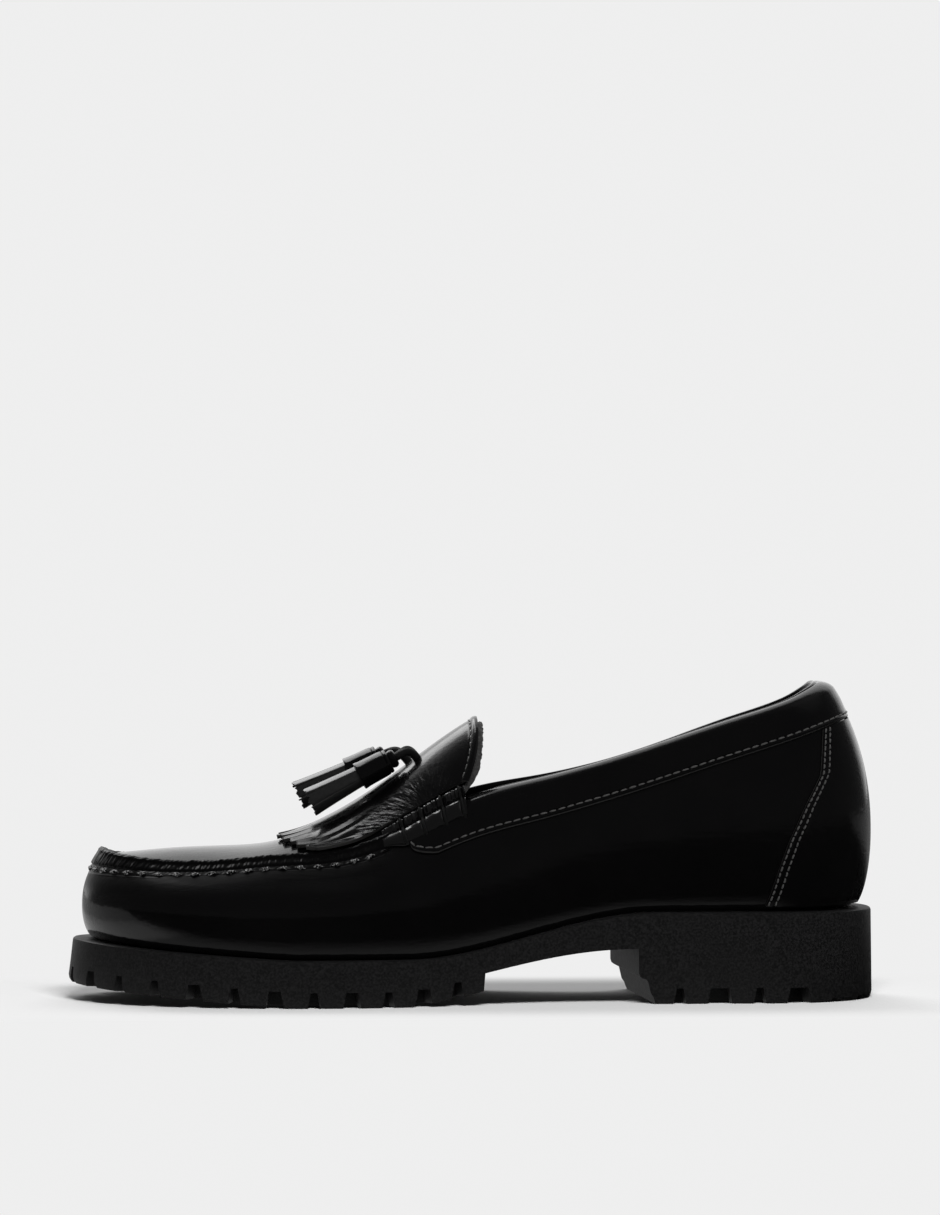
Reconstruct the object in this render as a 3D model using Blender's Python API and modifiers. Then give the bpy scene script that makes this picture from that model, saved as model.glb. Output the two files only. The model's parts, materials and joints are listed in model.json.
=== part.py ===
"""Tassel loafer with a lugged sole, left shoe, as an assembly of separate solids.

Frame: +Z up, the floor at Z = 0, the toe towards -X, the lateral (outer) side towards -Y.
The origin lies on the floor under the middle of the sole's outline.
Sizes are worked out in millimetres, and each mesh is scaled to metres when it is made.
"""

import math
from collections import namedtuple

import bmesh
import bpy
import numpy as np
from mathutils import Vector

MM = 0.001

# Driving dimensions, in millimetres.
SOLE_LENGTH = 300.0
BALL_WIDTH = 106.0
BACK_HEIGHT = 117.2
HEEL_HEIGHT = 33.6
FOREFOOT_THICKNESS = 17.3
TOE_RISE = 5.6
TOE_SPRING = 6.5
WALL = 2.0
GAP = 0.35

# The sections of the last, from the heel's back to the toe's tip.
# along: share of the sole's length. lateral, medial: the sole's edge, as shares of the ball's width.
# ledge: from the sole's edge in to the feather line. bulge, rise: how far the wall swells past the
# feather line, and how high above it. lateral_in, medial_in: from the feather line in to the wall's
# top edge. lateral_top, medial_top: height of that edge, as shares of the back's height.
Section = namedtuple(
    "Section",
    "name along lateral medial ledge bulge rise lateral_in medial_in lateral_top medial_top",
)
SECTIONS = (
    Section("heel_back", 0.000, 0.000, 0.000, 9.2, 7.5, 28.0, 8.0, 8.0, 1.000, 1.000),
    Section("heel_curve", 0.023, 0.208, 0.206, 8.3, 6.7, 28.0, 7.3, 7.3, 0.995, 0.993),
    Section("heel_round", 0.080, 0.330, 0.322, 6.6, 5.0, 26.0, 6.2, 5.7, 0.963, 0.951),
    Section("heel_seat", 0.167, 0.358, 0.342, 5.8, 4.0, 24.0, 4.5, 4.0, 0.900, 0.885),
    Section("heel_breast", 0.283, 0.363, 0.325, 5.5, 3.5, 22.0, 3.5, 2.5, 0.804, 0.780),
    Section("waist", 0.417, 0.378, 0.318, 5.0, 3.2, 20.0, 4.5, 1.5, 0.704, 0.690),
    Section("throat", 0.500, 0.416, 0.360, 5.0, 3.0, 18.5, 8.5, 5.0, 0.643, 0.641),
    Section("vamp", 0.593, 0.472, 0.440, 5.0, 3.0, 16.5, 13.7, 12.3, 0.522, 0.522),
    Section("joint", 0.650, 0.496, 0.478, 5.0, 3.1, 15.5, 15.5, 15.5, 0.471, 0.474),
    Section("ball", 0.740, 0.499, 0.499, 5.0, 3.2, 14.5, 15.5, 16.5, 0.452, 0.456),
    Section("toes", 0.833, 0.460, 0.468, 5.5, 3.4, 13.5, 14.0, 15.0, 0.433, 0.437),
    Section("shoulder", 0.913, 0.364, 0.385, 6.5, 3.8, 13.0, 10.0, 10.5, 0.432, 0.434),
    Section("toe_curve", 0.970, 0.208, 0.264, 8.2, 4.4, 12.5, 5.0, 5.0, 0.444, 0.444),
    Section("toe_tip", 1.000, -0.040, 0.040, 9.8, 4.9, 12.0, 1.4, 1.4, 0.454, 0.454),
)
STEPS = 3
BULGE_AT = 3 / 7
WALL_ROWS = 7
SHOULDER_POWER = 2.2

# The crest line of the vamp and tongue. at: X in millimetres. height: above the floor.
Crest = namedtuple("Crest", "at height")
CREST = (
    Crest(-139.0, 53.2),
    Crest(-125.0, 54.7),
    Crest(-108.0, 56.1),
    Crest(-90.0, 56.7),
    Crest(-74.0, 58.2),
    Crest(-60.0, 62.9),
    Crest(-36.0, 76.3),
    Crest(-16.0, 91.0),
    Crest(0.0, 101.8),
    Crest(8.0, 106.0),
)
ARCH_POWER = 2.2
APRON_COLUMNS = 10

# Sole: the flat stretch of the forefoot, the shank's gap and the lugs.
FLAT_FROM, FLAT_TO = -66.0, -27.0
TREAD_END = 3.0
TREAD_END_RISE = 5.5
SHANK_FROM, SHANK_TO = -25.0, 67.0
ARCH_START, ARCH_END = 12.0, 20.4
BREAST_AT = 57.0
BREAST_SKEW = 0.071
TOE_FLARE = 1.2
LUG_PITCH, LUG_PITCH_GROWTH = 12.8, 0.39
HEEL_LUG_PITCH = 14.8
LUG_DEPTH = 5.8
LUG_LENGTH = 12.0
NARROW_NOTCH, WIDE_NOTCH, HEEL_NOTCH = 2.4, 4.3, 6.8
WIDE_PLACES = (1, 3, 5, 7, 10)
NOTCH_FLARE = 1.6
BACK_NOTCH_DEPTH = 1.6
CHANNEL_INSET = 13.0
CHANNEL_WIDTH = 4.0
CHANNEL_DEPTH = 4.6
GROOVE_DEPTH = 4.0
GROOVE_PITCH = 28.2

# Pieces of leather.
INSOLE_THICKNESS = 3.0
INSOLE_CLEARANCE = 2.4
TONGUE_FROM = -27.4
TONGUE_END = 4.2
TONGUE_MARGIN = 3.6
KILTIE_FRONT = -71.0
KILTIE_SLIT = 13.0
KILTIE_STRIPS = 12
KILTIE_GAP = 0.5
SHEET = 1.5
BAND_WIDTH = 15.0
BAND_THICKNESS = 1.3
BAND_STEP = 23.2
COUNTER_THICKNESS = 1.0
SEAM_HEIGHT = 3.0
SEAM_FOOT = 3.4
ROLL_REACH = 4.2
ROLL_HEIGHT = 4.4
ROLL_WRAPS = 4
ROLL_START = 3.0

# Tassels.
TASSEL_LENGTH = 36.6
TASSEL_STRIPS = 7
# The section of a strip at its root and its tip. near, far: from the axis. inner, outer: half widths.
StripEnd = namedtuple("StripEnd", "near far inner outer")
STRIP_ROOT = StripEnd(3.2, 4.4, 1.25, 1.75)
STRIP_TIP = StripEnd(3.5, 5.1, 1.35, 2.05)
STRIP_START = 14.0
LACE_RADIUS = 1.2
LACE_PULL_OUT, LACE_PULL_IN = 5.0, 4.0
# Where each tassel's head and tip lie, and where its lace leaves the kiltie, in millimetres.
TasselPlace = namedtuple("TasselPlace", "side head tip root")
TASSELS = (
    TasselPlace("lateral", (-28.3, -8.0, 90.0), (-60.7, -9.0, 73.0), (-19.5, -5.0)),
    TasselPlace("medial", (-31.6, 8.0, 90.6), (-64.0, 9.0, 75.0), (-22.0, 5.0)),
)
# The front edge of the heel counter, from the sole up. at: X. height: above the floor.
COUNTER_FRONT = (
    Crest(100.0, 20.0),
    Crest(108.5, 39.8),
    Crest(111.4, 48.7),
    Crest(115.4, 59.5),
    Crest(121.6, 72.6),
    Crest(127.6, 83.8),
    Crest(130.2, 112.0),
)


def spline(knots, values, wanted, closed):
    """Cubic through values at knots, read at wanted. A closed one repeats after its last knot."""
    knots, values = np.asarray(knots, float), np.asarray(values, float)
    step = np.diff(knots)
    ends = np.append(values, values[0]) if closed else values
    chord = np.diff(ends) / step
    count = len(values)
    matrix, right = np.zeros((count, count)), np.zeros(count)
    for i in range(count):
        if not closed and i in (0, count - 1):
            inner = 1 if i == 0 else count - 2
            matrix[i, i], matrix[i, inner] = 2.0, 1.0
            right[i] = 3.0 * chord[min(i, count - 2)]
            continue
        before, after = 1.0 / step[i - 1], 1.0 / step[i]
        matrix[i, i - 1] += before
        matrix[i, i] += 2.0 * (before + after)
        matrix[i, (i + 1) % count] += after
        right[i] = 3.0 * (chord[i - 1] * before + chord[i] * after)
    slope = np.linalg.solve(matrix, right)
    slope = np.append(slope, slope[0]) if closed else slope
    wanted = np.asarray(wanted, float)
    if closed:
        wanted = knots[0] + (wanted - knots[0]) % (knots[-1] - knots[0])
    piece = np.clip(np.searchsorted(knots, wanted, "right") - 1, 0, len(step) - 1)
    width = step[piece]
    t = (wanted - knots[piece]) / width
    return (
        (1 + 2 * t) * (1 - t) ** 2 * ends[piece]
        + t * (1 - t) ** 2 * width * slope[piece]
        + t * t * (3 - 2 * t) * ends[piece + 1]
        + t * t * (t - 1) * width * slope[piece + 1]
    )


def ramp(x, start, end):
    """0 before start, 1 after end, and smooth between them."""
    t = np.clip((x - start) / (end - start), 0.0, 1.0)
    return t * t * (3.0 - 2.0 * t)


def sole_top(x):
    """Height of the sole's upper face."""
    toe = np.clip((FLAT_FROM - x) / (SOLE_LENGTH / 2 + FLAT_FROM - 2.0), 0.0, 1.0)
    shank = (HEEL_HEIGHT - FOREFOOT_THICKNESS) * ramp(x, SHANK_FROM, SHANK_TO)
    return FOREFOOT_THICKNESS + shank + TOE_RISE * toe**1.1


def ground(x):
    """Height of the tread's lower face: flat under the ball and the heel, raised at toe and shank."""
    toe = np.clip((FLAT_FROM - x) / (SOLE_LENGTH / 2 + FLAT_FROM), 0.0, 1.0)
    back = np.clip((x - FLAT_TO) / (TREAD_END - FLAT_TO), 0.0, 1.0)
    heel = ramp(x, TREAD_END + 10.0, BREAST_AT - 6.0)
    return TOE_SPRING * toe**1.05 + TREAD_END_RISE * back**1.35 * (1.0 - heel)


def crest(x):
    return spline([c.at for c in CREST], [c.height for c in CREST], x, closed=False)


class Last:
    """The wall of the shoe, section by section: from the feather line up to the seam or topline."""

    def __init__(self):
        lateral, medial = list(SECTIONS), list(SECTIONS[-2:0:-1])
        rows = [(s, -s.lateral, s.lateral_in, s.lateral_top) for s in lateral]
        rows += [(s, s.medial, s.medial_in, s.medial_top) for s in medial]
        x = [SOLE_LENGTH * (0.5 - s.along) for s, _, _, _ in rows]
        y = [BALL_WIDTH * across for _, across, _, _ in rows]
        loop = np.array([x + x[:1], y + y[:1]])
        self.knots = np.append(0.0, np.cumsum(np.hypot(*np.diff(loop, axis=1))))
        self.columns = {
            "x": x,
            "y": y,
            "ledge": [s.ledge for s, _, _, _ in rows],
            "bulge": [s.bulge for s, _, _, _ in rows],
            "rise": [s.rise for s, _, _, _ in rows],
            "inset": [inset for _, _, inset, _ in rows],
            "top": [BACK_HEIGHT * top for _, _, _, top in rows],
        }
        self.shift = 0.0
        edge = self.at(self.between(24))["y"]
        self.shift = -(edge.min() + edge.max()) / 2
        self.params = self.between(STEPS)
        self.count = len(self.params)
        dense = self.at(self.between(24))
        rim = self.point(dense, 1.0)
        middle = len(rim) // 2
        self.rims = (rim[middle:0:-1], rim[middle:])

    def between(self, steps):
        """Parameters of steps even divisions of each section-to-section span."""
        spans = zip(self.knots[:-1], self.knots[1:])
        return np.concatenate([np.linspace(a, b, steps, endpoint=False) for a, b in spans])

    def knot(self, name, side):
        """The parameter of a named section on the lateral or medial side."""
        index = [s.name for s in SECTIONS].index(name)
        return self.knots[index if side == "lateral" else len(self.knots) - 1 - index]

    def at(self, params):
        """Each column at these parameters, with the outward direction nx, ny in plan."""
        found = {k: spline(self.knots, v, params, True) for k, v in self.columns.items()}
        small = 0.5
        ahead, behind = np.asarray(params) + small, np.asarray(params) - small
        dx = spline(self.knots, self.columns["x"], ahead, True)
        dx = dx - spline(self.knots, self.columns["x"], behind, True)
        dy = spline(self.knots, self.columns["y"], ahead, True)
        dy = dy - spline(self.knots, self.columns["y"], behind, True)
        size = np.hypot(dx, dy)
        found["nx"], found["ny"] = -dy / size, dx / size
        found["y"] = found["y"] + self.shift
        return found

    def profile(self, s, v):
        """How far out of the feather line, and how high, the wall is at v from 0 to 1."""
        feather_x = s["x"] - s["nx"] * s["ledge"]
        foot = sole_top(feather_x) + GAP
        turn = np.minimum(v / BULGE_AT, 1.0) * math.pi / 2
        up = np.maximum(v - BULGE_AT, 0.0) / (1.0 - BULGE_AT)
        out = s["bulge"] * np.sin(turn) - (s["bulge"] + s["inset"]) * up**SHOULDER_POWER
        shoulder = foot + s["rise"]
        height = foot + s["rise"] * (1.0 - np.cos(turn)) + (s["top"] - shoulder) * up
        return out, height

    def point(self, s, v, lift=0.0):
        """Points of the wall, moved out along its normal by lift."""
        out, height = self.profile(s, v)
        if lift:
            out_a, height_a = self.profile(s, np.maximum(v - 0.01, 0.0))
            out_b, height_b = self.profile(s, np.minimum(v + 0.01, 1.0))
            length = np.hypot(out_b - out_a, height_b - height_a)
            out = out + lift * (height_b - height_a) / length
            height = height - lift * (out_b - out_a) / length
        reach = out - s["ledge"]
        x, y = s["x"] + s["nx"] * reach, s["y"] + s["ny"] * reach
        return np.stack([x, y, height], axis=-1)

    def share_below(self, s, depth):
        """The share v of the wall that lies depth below its top edge, measured down the wall."""
        shares = np.linspace(1.0, 0.0, 60)
        points = np.array([self.point(s, v) for v in shares])
        run = np.cumsum(np.linalg.norm(np.diff(points, axis=0), axis=-1), axis=0)
        run = np.vstack([np.zeros(points.shape[1]), run])
        wanted = np.broadcast_to(depth, points.shape[1])
        return np.array([np.interp(d, run[:, k], shares) for k, d in enumerate(wanted)])

    def below_top(self, s, depth, lift):
        return self.point(s, self.share_below(s, depth), lift)

    def arch(self, x, w, lift=0.0):
        """A point of the vamp's arch at X = x. w runs from 0, lateral, to 1, medial."""
        if lift:
            small = 0.4
            here = self.arch(x, w)
            along = self.arch(x + small, w) - self.arch(x - small, w)
            across = self.arch(x, w + 0.01) - self.arch(x, w - 0.01)
            normal = np.cross(along, across)
            return here + lift * normal / np.linalg.norm(normal)
        (yl, zl), (ym, zm) = (
            [np.interp(x, rim[:, 0], rim[:, i]) for i in (1, 2)] for rim in self.trimmed
        )
        rise = crest(x) - (zl + zm) / 2
        swell = 1.0 - abs(2.0 * w - 1.0) ** ARCH_POWER
        return np.array([x, yl + (ym - yl) * w, zl + (zm - zl) * w + rise * swell])

    @property
    def trimmed(self):
        """The two rims from the toe back to the waist, where X grows steadily."""
        return tuple(rim[rim[:, 0] < SHANK_TO] for rim in self.rims)


def new_object(name, bm, material):
    mesh = bpy.data.meshes.new(name)
    bm.to_mesh(mesh)
    bm.free()
    obj = bpy.data.objects.new(name, mesh)
    mesh.materials.append(material)
    PARTS.objects.link(obj)
    return obj


def shade(obj, degrees=40.0):
    obj.data.shade_smooth()
    obj.data.set_sharp_from_angle(angle=math.radians(degrees))
    return obj


def add_points(bm, points):
    return [bm.verts.new(Vector(p) * MM) for p in points]


def join_rows(bm, rows, closed=False):
    """Quads between neighbouring rows of vertices, or triangles where two corners are one vertex."""
    for first, second in zip(rows[:-1], rows[1:]):
        span = len(first) if closed else len(first) - 1
        for i in range(span):
            k = (i + 1) % len(first)
            corners = dict.fromkeys((first[i], first[k], second[k], second[i]))
            if len(corners) > 2:
                bm.faces.new(list(corners))


def face_away(bm, inside):
    """Turns the faces of an open sheet away from a point behind it."""
    bmesh.ops.recalc_face_normals(bm, faces=bm.faces)
    centre = Vector(inside) * MM
    total = sum(f.normal.dot(f.calc_center_median() - centre) * f.calc_area() for f in bm.faces)
    if total < 0:
        bmesh.ops.reverse_faces(bm, faces=bm.faces)


def sheet_object(name, bm, material, thickness, inside, outwards):
    """A leather sheet: an open surface given its thickness, out of or into the surface."""
    face_away(bm, inside)
    obj = new_object(name, bm, material)
    solid = obj.modifiers.new("Thickness", "SOLIDIFY")
    solid.thickness = thickness * MM
    solid.offset = 1.0 if outwards else -1.0
    return shade(obj)


def closed_loft(name, sections, material, collection=None):
    """A solid skinned over a row of closed sections, with flat ends."""
    bm = bmesh.new()
    rings = [add_points(bm, section) for section in sections]
    join_rows(bm, rings, closed=True)
    bm.faces.new(rings[0])
    bm.faces.new(rings[-1])
    bmesh.ops.recalc_face_normals(bm, faces=bm.faces)
    obj = new_object(name, bm, material)
    if collection:
        PARTS.objects.unlink(obj)
        collection.objects.link(obj)
    return obj


def leather(name, colour, roughness):
    material = bpy.data.materials.new(name)
    material.use_nodes = True
    shader = material.node_tree.nodes["Principled BSDF"]
    shader.inputs["Base Color"].default_value = (*colour, 1.0)
    shader.inputs["Roughness"].default_value = roughness
    shader.inputs["Metallic"].default_value = 0.0
    return material


def as_cutter(obj):
    obj.hide_render = True
    obj.display_type = "WIRE"
    return obj


def cut(obj, cutter, operation="DIFFERENCE"):
    boolean = obj.modifiers.new(cutter.name, "BOOLEAN")
    boolean.operation = operation
    boolean.object = cutter


def paired_rows(ring):
    """Rows across a closed ring, each from a lateral point to the medial point facing it."""
    half = len(ring) // 2
    rows = [[ring[0], ring[0]]]
    rows += [[ring[i], ring[-i]] for i in range(1, half)]
    return rows + [[ring[half], ring[half]]]


def slab(name, rings, material):
    """A solid between a top ring and a bottom ring, with rings of its side between them."""
    bm = bmesh.new()
    loops = [add_points(bm, ring) for ring in rings]
    join_rows(bm, loops, closed=True)
    join_rows(bm, paired_rows(loops[0]))
    join_rows(bm, paired_rows(loops[-1]))
    bmesh.ops.recalc_face_normals(bm, faces=bm.faces)
    return new_object(name, bm, material)


def edge_ring(s, inset, height):
    """The sole's outline moved in by inset, at a height worked out from X."""
    x, y = s["x"] - s["nx"] * inset, s["y"] - s["ny"] * inset
    return np.stack([x, y, height(x)], axis=-1)


def prism(bm, centre, along, out, bottom, top, half_low, half_high, reach):
    """A tapered bar: its section stands across along, and it runs from reach[0] to reach[1] on out."""
    ends = []
    for far in reach:
        corners = ((-half_low, bottom), (half_low, bottom), (half_high, top), (-half_high, top))
        ends.append(
            add_points(
                bm,
                [
                    (
                        centre[0] + along[0] * a + out[0] * far,
                        centre[1] + along[1] * a + out[1] * far,
                        z,
                    )
                    for a, z in corners
                ],
            )
        )
    join_rows(bm, ends, closed=True)
    bm.faces.new(ends[0])
    bm.faces.new(ends[1])


def shank_cutter():
    """The gap under the arch, from the tread's end to the breast of the heel."""
    sections = []
    for y in (-BALL_WIDTH, BALL_WIDTH):
        breast = BREAST_AT - BREAST_SKEW * y
        end = TREAD_END
        span = breast - end
        under = [
            (end + span * t, ARCH_START + (ARCH_END - ARCH_START) * math.sin(t * math.pi / 2))
            for t in (0.0, 0.25, 0.5, 0.75, 1.0)
        ]
        profile = [(end - 1.2, -3.0), *under, (breast + 0.1, 11.0), (breast + 5.6, 2.2)]
        profile.append((breast + 7.4, -3.0))
        sections.append([(x, y, z) for x, z in profile])
    return as_cutter(closed_loft("shank_cutter", sections, RUBBER, CUTTERS))


def outline_walk(last, first, final, pitch, growth):
    """Points along the sole's edge, a pitch apart that grows by each step, as dicts of columns."""
    params = np.linspace(first, final, 600)
    s = last.at(params)
    run = np.append(0.0, np.cumsum(np.hypot(np.diff(s["x"]), np.diff(s["y"]))))
    places = [0.0]
    while places[-1] + pitch < run[-1]:
        places.append(places[-1] + pitch)
        pitch += growth
    return [last.at([p]) for p in np.interp(places, run, params)]


def notch_cutter(last):
    """The notches between the lugs of the sole's edge: round the forefoot and round the heel."""
    toe = last.knot("toe_tip", "lateral")
    beyond = last.knot("heel_breast", "medial") - last.knots[-1]
    walks = (
        (last.knot("throat", "lateral") + 7.3, toe, LUG_PITCH, LUG_PITCH_GROWTH, WIDE_NOTCH),
        (last.knot("throat", "medial") - 7.3, toe, LUG_PITCH, LUG_PITCH_GROWTH, WIDE_NOTCH),
        (last.knot("heel_breast", "lateral") - 9.9, beyond + 6.0, HEEL_LUG_PITCH, 0.0, HEEL_NOTCH),
    )
    bm = bmesh.new()
    for first, final, pitch, growth, wide in walks:
        for index, s in enumerate(outline_walk(last, first, final, pitch, growth)):
            x, y, nx, ny = (float(s[k][0]) for k in ("x", "y", "nx", "ny"))
            shallow = x > SOLE_LENGTH * 0.42
            half = (wide if index in WIDE_PLACES and not shallow else NARROW_NOTCH) / 2
            depth = BACK_NOTCH_DEPTH if shallow else LUG_DEPTH
            low = float(ground(x))
            prism(
                bm,
                (x, y),
                (-ny, nx),
                (nx, ny),
                low - 2.0,
                low + depth,
                half + NOTCH_FLARE,
                half,
                (5.0, -LUG_LENGTH),
            )
    bmesh.ops.recalc_face_normals(bm, faces=bm.faces)
    return as_cutter(move_to_cutters(new_object("notch_cutter", bm, RUBBER)))


def move_to_cutters(obj):
    PARTS.objects.unlink(obj)
    CUTTERS.objects.link(obj)
    return obj


def channel_cutter(last, name, keep):
    """A channel inside the edge lugs, along the part of the outline that keep accepts."""
    s = last.at(last.params)
    half, bm, rings = CHANNEL_WIDTH / 2, bmesh.new(), []
    inner, outer = CHANNEL_INSET + half, CHANNEL_INSET - half
    low, high = (lambda x: ground(x) - 2.0), (lambda x: ground(x) + CHANNEL_DEPTH)
    corners = ((outer, low), (inner, low), (inner - 0.6, high), (outer + 0.6, high))
    tracks = [edge_ring(s, inset, height) for inset, height in corners]
    order = [i for i in range(last.count) if keep(s["x"][i])]
    start = next((k for k, i in enumerate(order) if (i - 1) % last.count not in order), 0)
    order = order[start:] + order[:start]
    for i in order:
        rings.append(add_points(bm, [track[i] for track in tracks]))
    join_rows(bm, rings, closed=True)
    bm.faces.new(rings[0])
    bm.faces.new(rings[-1])
    bmesh.ops.recalc_face_normals(bm, faces=bm.faces)
    return as_cutter(move_to_cutters(new_object(name, bm, RUBBER)))


def groove_cutter():
    """Cross grooves that part the middle of the tread into bars."""
    bm = bmesh.new()
    forefoot = np.arange(-122.0, TREAD_END - 6.0, GROOVE_PITCH)
    heel = (82.0, 82.0 + GROOVE_PITCH)
    for x in (*forefoot, *heel):
        low = float(ground(x))
        prism(bm, (x, 0.0), (1.0, 0.0), (0.0, 1.0), low - 2.0, low + GROOVE_DEPTH, 2.6, 1.9, (-24.0, 24.0))
    bmesh.ops.recalc_face_normals(bm, faces=bm.faces)
    return as_cutter(move_to_cutters(new_object("groove_cutter", bm, RUBBER)))


def make_outsole(last):
    """The moulded rubber sole unit with its heel, arch and lugs."""
    s = last.at(last.params)
    flare = TOE_FLARE * ramp(-s["x"], SOLE_LENGTH * 0.33, SOLE_LENGTH * 0.5)
    rings = [
        edge_ring(s, 1.1 + flare, sole_top),
        edge_ring(s, 0.3 + flare, lambda x: sole_top(x) - 0.9),
        edge_ring(s, 0.0, lambda x: ground(x) + 2.4),
        edge_ring(s, 1.0, ground),
    ]
    sole = slab("outsole", rings, RUBBER)
    cut(sole, shank_cutter())
    cut(sole, notch_cutter(last))
    cut(sole, channel_cutter(last, "forefoot_channel", lambda x: x < TREAD_END - 8.0))
    cut(sole, channel_cutter(last, "heel_channel", lambda x: x > BREAST_AT + 18.0))
    cut(sole, groove_cutter())
    return shade(sole, 30.0)


def make_insole(last):
    """The footbed, inside the foot of the wall."""
    s = last.at(last.params)
    inset = s["ledge"] + INSOLE_CLEARANCE
    rings = [
        edge_ring(s, inset, lambda x: sole_top(x) + GAP + INSOLE_THICKNESS),
        edge_ring(s, inset, lambda x: sole_top(x) + GAP),
    ]
    return shade(slab("insole", rings, LINING))


def make_upper(last):
    """Vamp, apron and quarters as one hollow wall, open at the collar, the throat and below."""
    s = last.at(last.params)
    bm = bmesh.new()
    levels = np.linspace(0.0, 1.0, WALL_ROWS + 1)
    rings = [add_points(bm, last.point(s, v)) for v in levels]
    join_rows(bm, rings, closed=True)
    top, half = rings[-1], last.count // 2
    first = int(np.argmin(abs(last.params - last.knot("vamp", "lateral"))))
    rows = []
    for i in range(first, half):
        left, right = top[i], top[-i]
        row = [left]
        for c in range(1, APRON_COLUMNS):
            w = c / APRON_COLUMNS
            x = (left.co.x * (1 - w) + right.co.x * w) / MM
            row += add_points(bm, [last.arch(x, w)])
        rows.append([*row, right])
    rows.append([top[half]] * (APRON_COLUMNS + 1))
    join_rows(bm, rows)
    return sheet_object("upper", bm, LEATHER, WALL, (0.0, 0.0, 45.0), outwards=False)


def tongue_end(w):
    """X of the tongue's free edge across its arch."""
    return TONGUE_END - 5.0 * abs(2.0 * w - 1.0) ** 5


def make_tongue(last):
    """The tongue, from the apron's back edge up to its free edge at the throat."""
    bm, rows = bmesh.new(), []
    for t in np.linspace(0.0, 1.0, 6):
        row = []
        for w in np.linspace(0.017, 0.983, APRON_COLUMNS + 1):
            row.append(last.arch(TONGUE_FROM + (tongue_end(w) - TONGUE_FROM) * t, w))
        rows.append(add_points(bm, row))
    join_rows(bm, rows)
    return sheet_object("tongue", bm, LEATHER, SHEET, (-12.0, 0.0, 45.0), outwards=False)


def kiltie_side(x):
    """Share of the arch's width left bare beside the kiltie, for the seam or the side roll."""
    return 0.048 + 0.037 * float(ramp(x, -42.0, -32.0))


def make_kiltie(last):
    """The fringed flap over vamp and tongue, slit into strips at its front edge."""
    bm = bmesh.new()

    def place(t, c):
        """t runs from the tongue's edge to the root of the slits, c counts strips across."""
        share = c / KILTIE_STRIPS
        back = tongue_end(share) - TONGUE_MARGIN
        x = back + (KILTIE_FRONT + KILTIE_SLIT - back) * t
        side = kiltie_side(x)
        return last.arch(x, side + (1 - 2 * side) * share, KILTIE_GAP)

    rows = [
        add_points(bm, [place(t, c) for c in range(KILTIE_STRIPS + 1)])
        for t in np.linspace(0.0, 1.0, 9)
    ]
    join_rows(bm, rows)
    root = rows[-1]
    for c in range(KILTIE_STRIPS):
        strip = [[root[c], root[c + 1]]]
        for t in (0.5, 1.0):
            x = KILTIE_FRONT + KILTIE_SLIT * (1 - t) + 4.0 * t * abs(2 * (c + 0.5) / KILTIE_STRIPS - 1) ** 2
            side, trim = kiltie_side(x), 0.09 * t
            shares = ((c + trim) / KILTIE_STRIPS, (c + 1 - trim) / KILTIE_STRIPS)
            lift = KILTIE_GAP + 0.8 * t * t
            strip.append(add_points(bm, [last.arch(x, side + (1 - 2 * side) * q, lift) for q in shares]))
        join_rows(bm, strip)
    return sheet_object("kiltie", bm, LEATHER, SHEET, (-30.0, 0.0, 20.0), outwards=True)


def make_collar_band(last):
    """The band stitched round the topline, from one side of the throat to the other."""
    total = last.knots[-1]
    start, end = last.knot("vamp", "medial") + 4.0, total + last.knot("vamp", "lateral") - 4.0
    inner = [p for p in (*last.params, *(total + last.params)) if start + 9.0 < p < end - 9.0]
    corner = (0.0, 1.5, 4.0, 7.0, BAND_STEP)
    s = last.at(sorted([*(start + c for c in corner), *inner, *(end - c for c in corner)]))
    run = np.append(0.0, np.cumsum(np.hypot(np.diff(s["x"]), np.diff(s["y"]))))
    from_end = np.minimum(run, run[-1] - run)
    upper = 0.2 + (ROLL_REACH + 1.2) * (1.0 - ramp(from_end, BAND_STEP, BAND_STEP + 1.2))
    lower = BAND_WIDTH + 1.3 * (1.0 - ramp(from_end, 20.0, 70.0))
    lower = lower - 6.0 * (1.0 - np.clip(from_end / 8.0, 0.0, 1.0) ** 0.5)
    bm = bmesh.new()
    rows = [
        add_points(bm, last.below_top(s, upper + (lower - upper) * t, GAP))
        for t in np.linspace(0.0, 1.0, 4)
    ]
    join_rows(bm, rows)
    return sheet_object("collar_band", bm, LEATHER, BAND_THICKNESS, (60.0, 0.0, 60.0), outwards=True)


def counter_cutter():
    """The block that gives the heel counter its slanted front edge."""
    behind = SOLE_LENGTH / 2 + 20.0
    profile = [*COUNTER_FRONT, (behind, COUNTER_FRONT[-1].height), (behind, COUNTER_FRONT[0].height)]
    sections = [[(x, y, z) for x, z in profile] for y in (-60.0, 60.0)]
    return as_cutter(closed_loft("counter_cutter", sections, LEATHER, CUTTERS))


def make_heel_counter(last):
    """The counter over the back of the heel, below the collar band."""
    total = last.knots[-1]
    reach = last.knot("heel_seat", "lateral") + 8.0
    params = [p - total for p in last.params if p > total - reach]
    params += [p for p in last.params if p < reach]
    s = last.at(params)
    bm = bmesh.new()
    high, low = last.share_below(s, BAND_WIDTH + GAP), 0.11
    rows = [add_points(bm, last.point(s, high + (low - high) * t, GAP)) for t in np.linspace(0.0, 1.0, 7)]
    join_rows(bm, rows)
    counter = sheet_object("heel_counter", bm, LEATHER, COUNTER_THICKNESS, (100.0, 0.0, 60.0), outwards=True)
    cut(counter, counter_cutter(), "INTERSECT")
    return counter


def edge_slope(last, x):
    """How steeply the vamp rises at its edge."""
    here, inner = last.arch(x, 0.0), last.arch(x, 0.06)
    return max(0.35, (inner[2] - here[2]) / max(inner[1] - here[1], 0.5))


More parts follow.
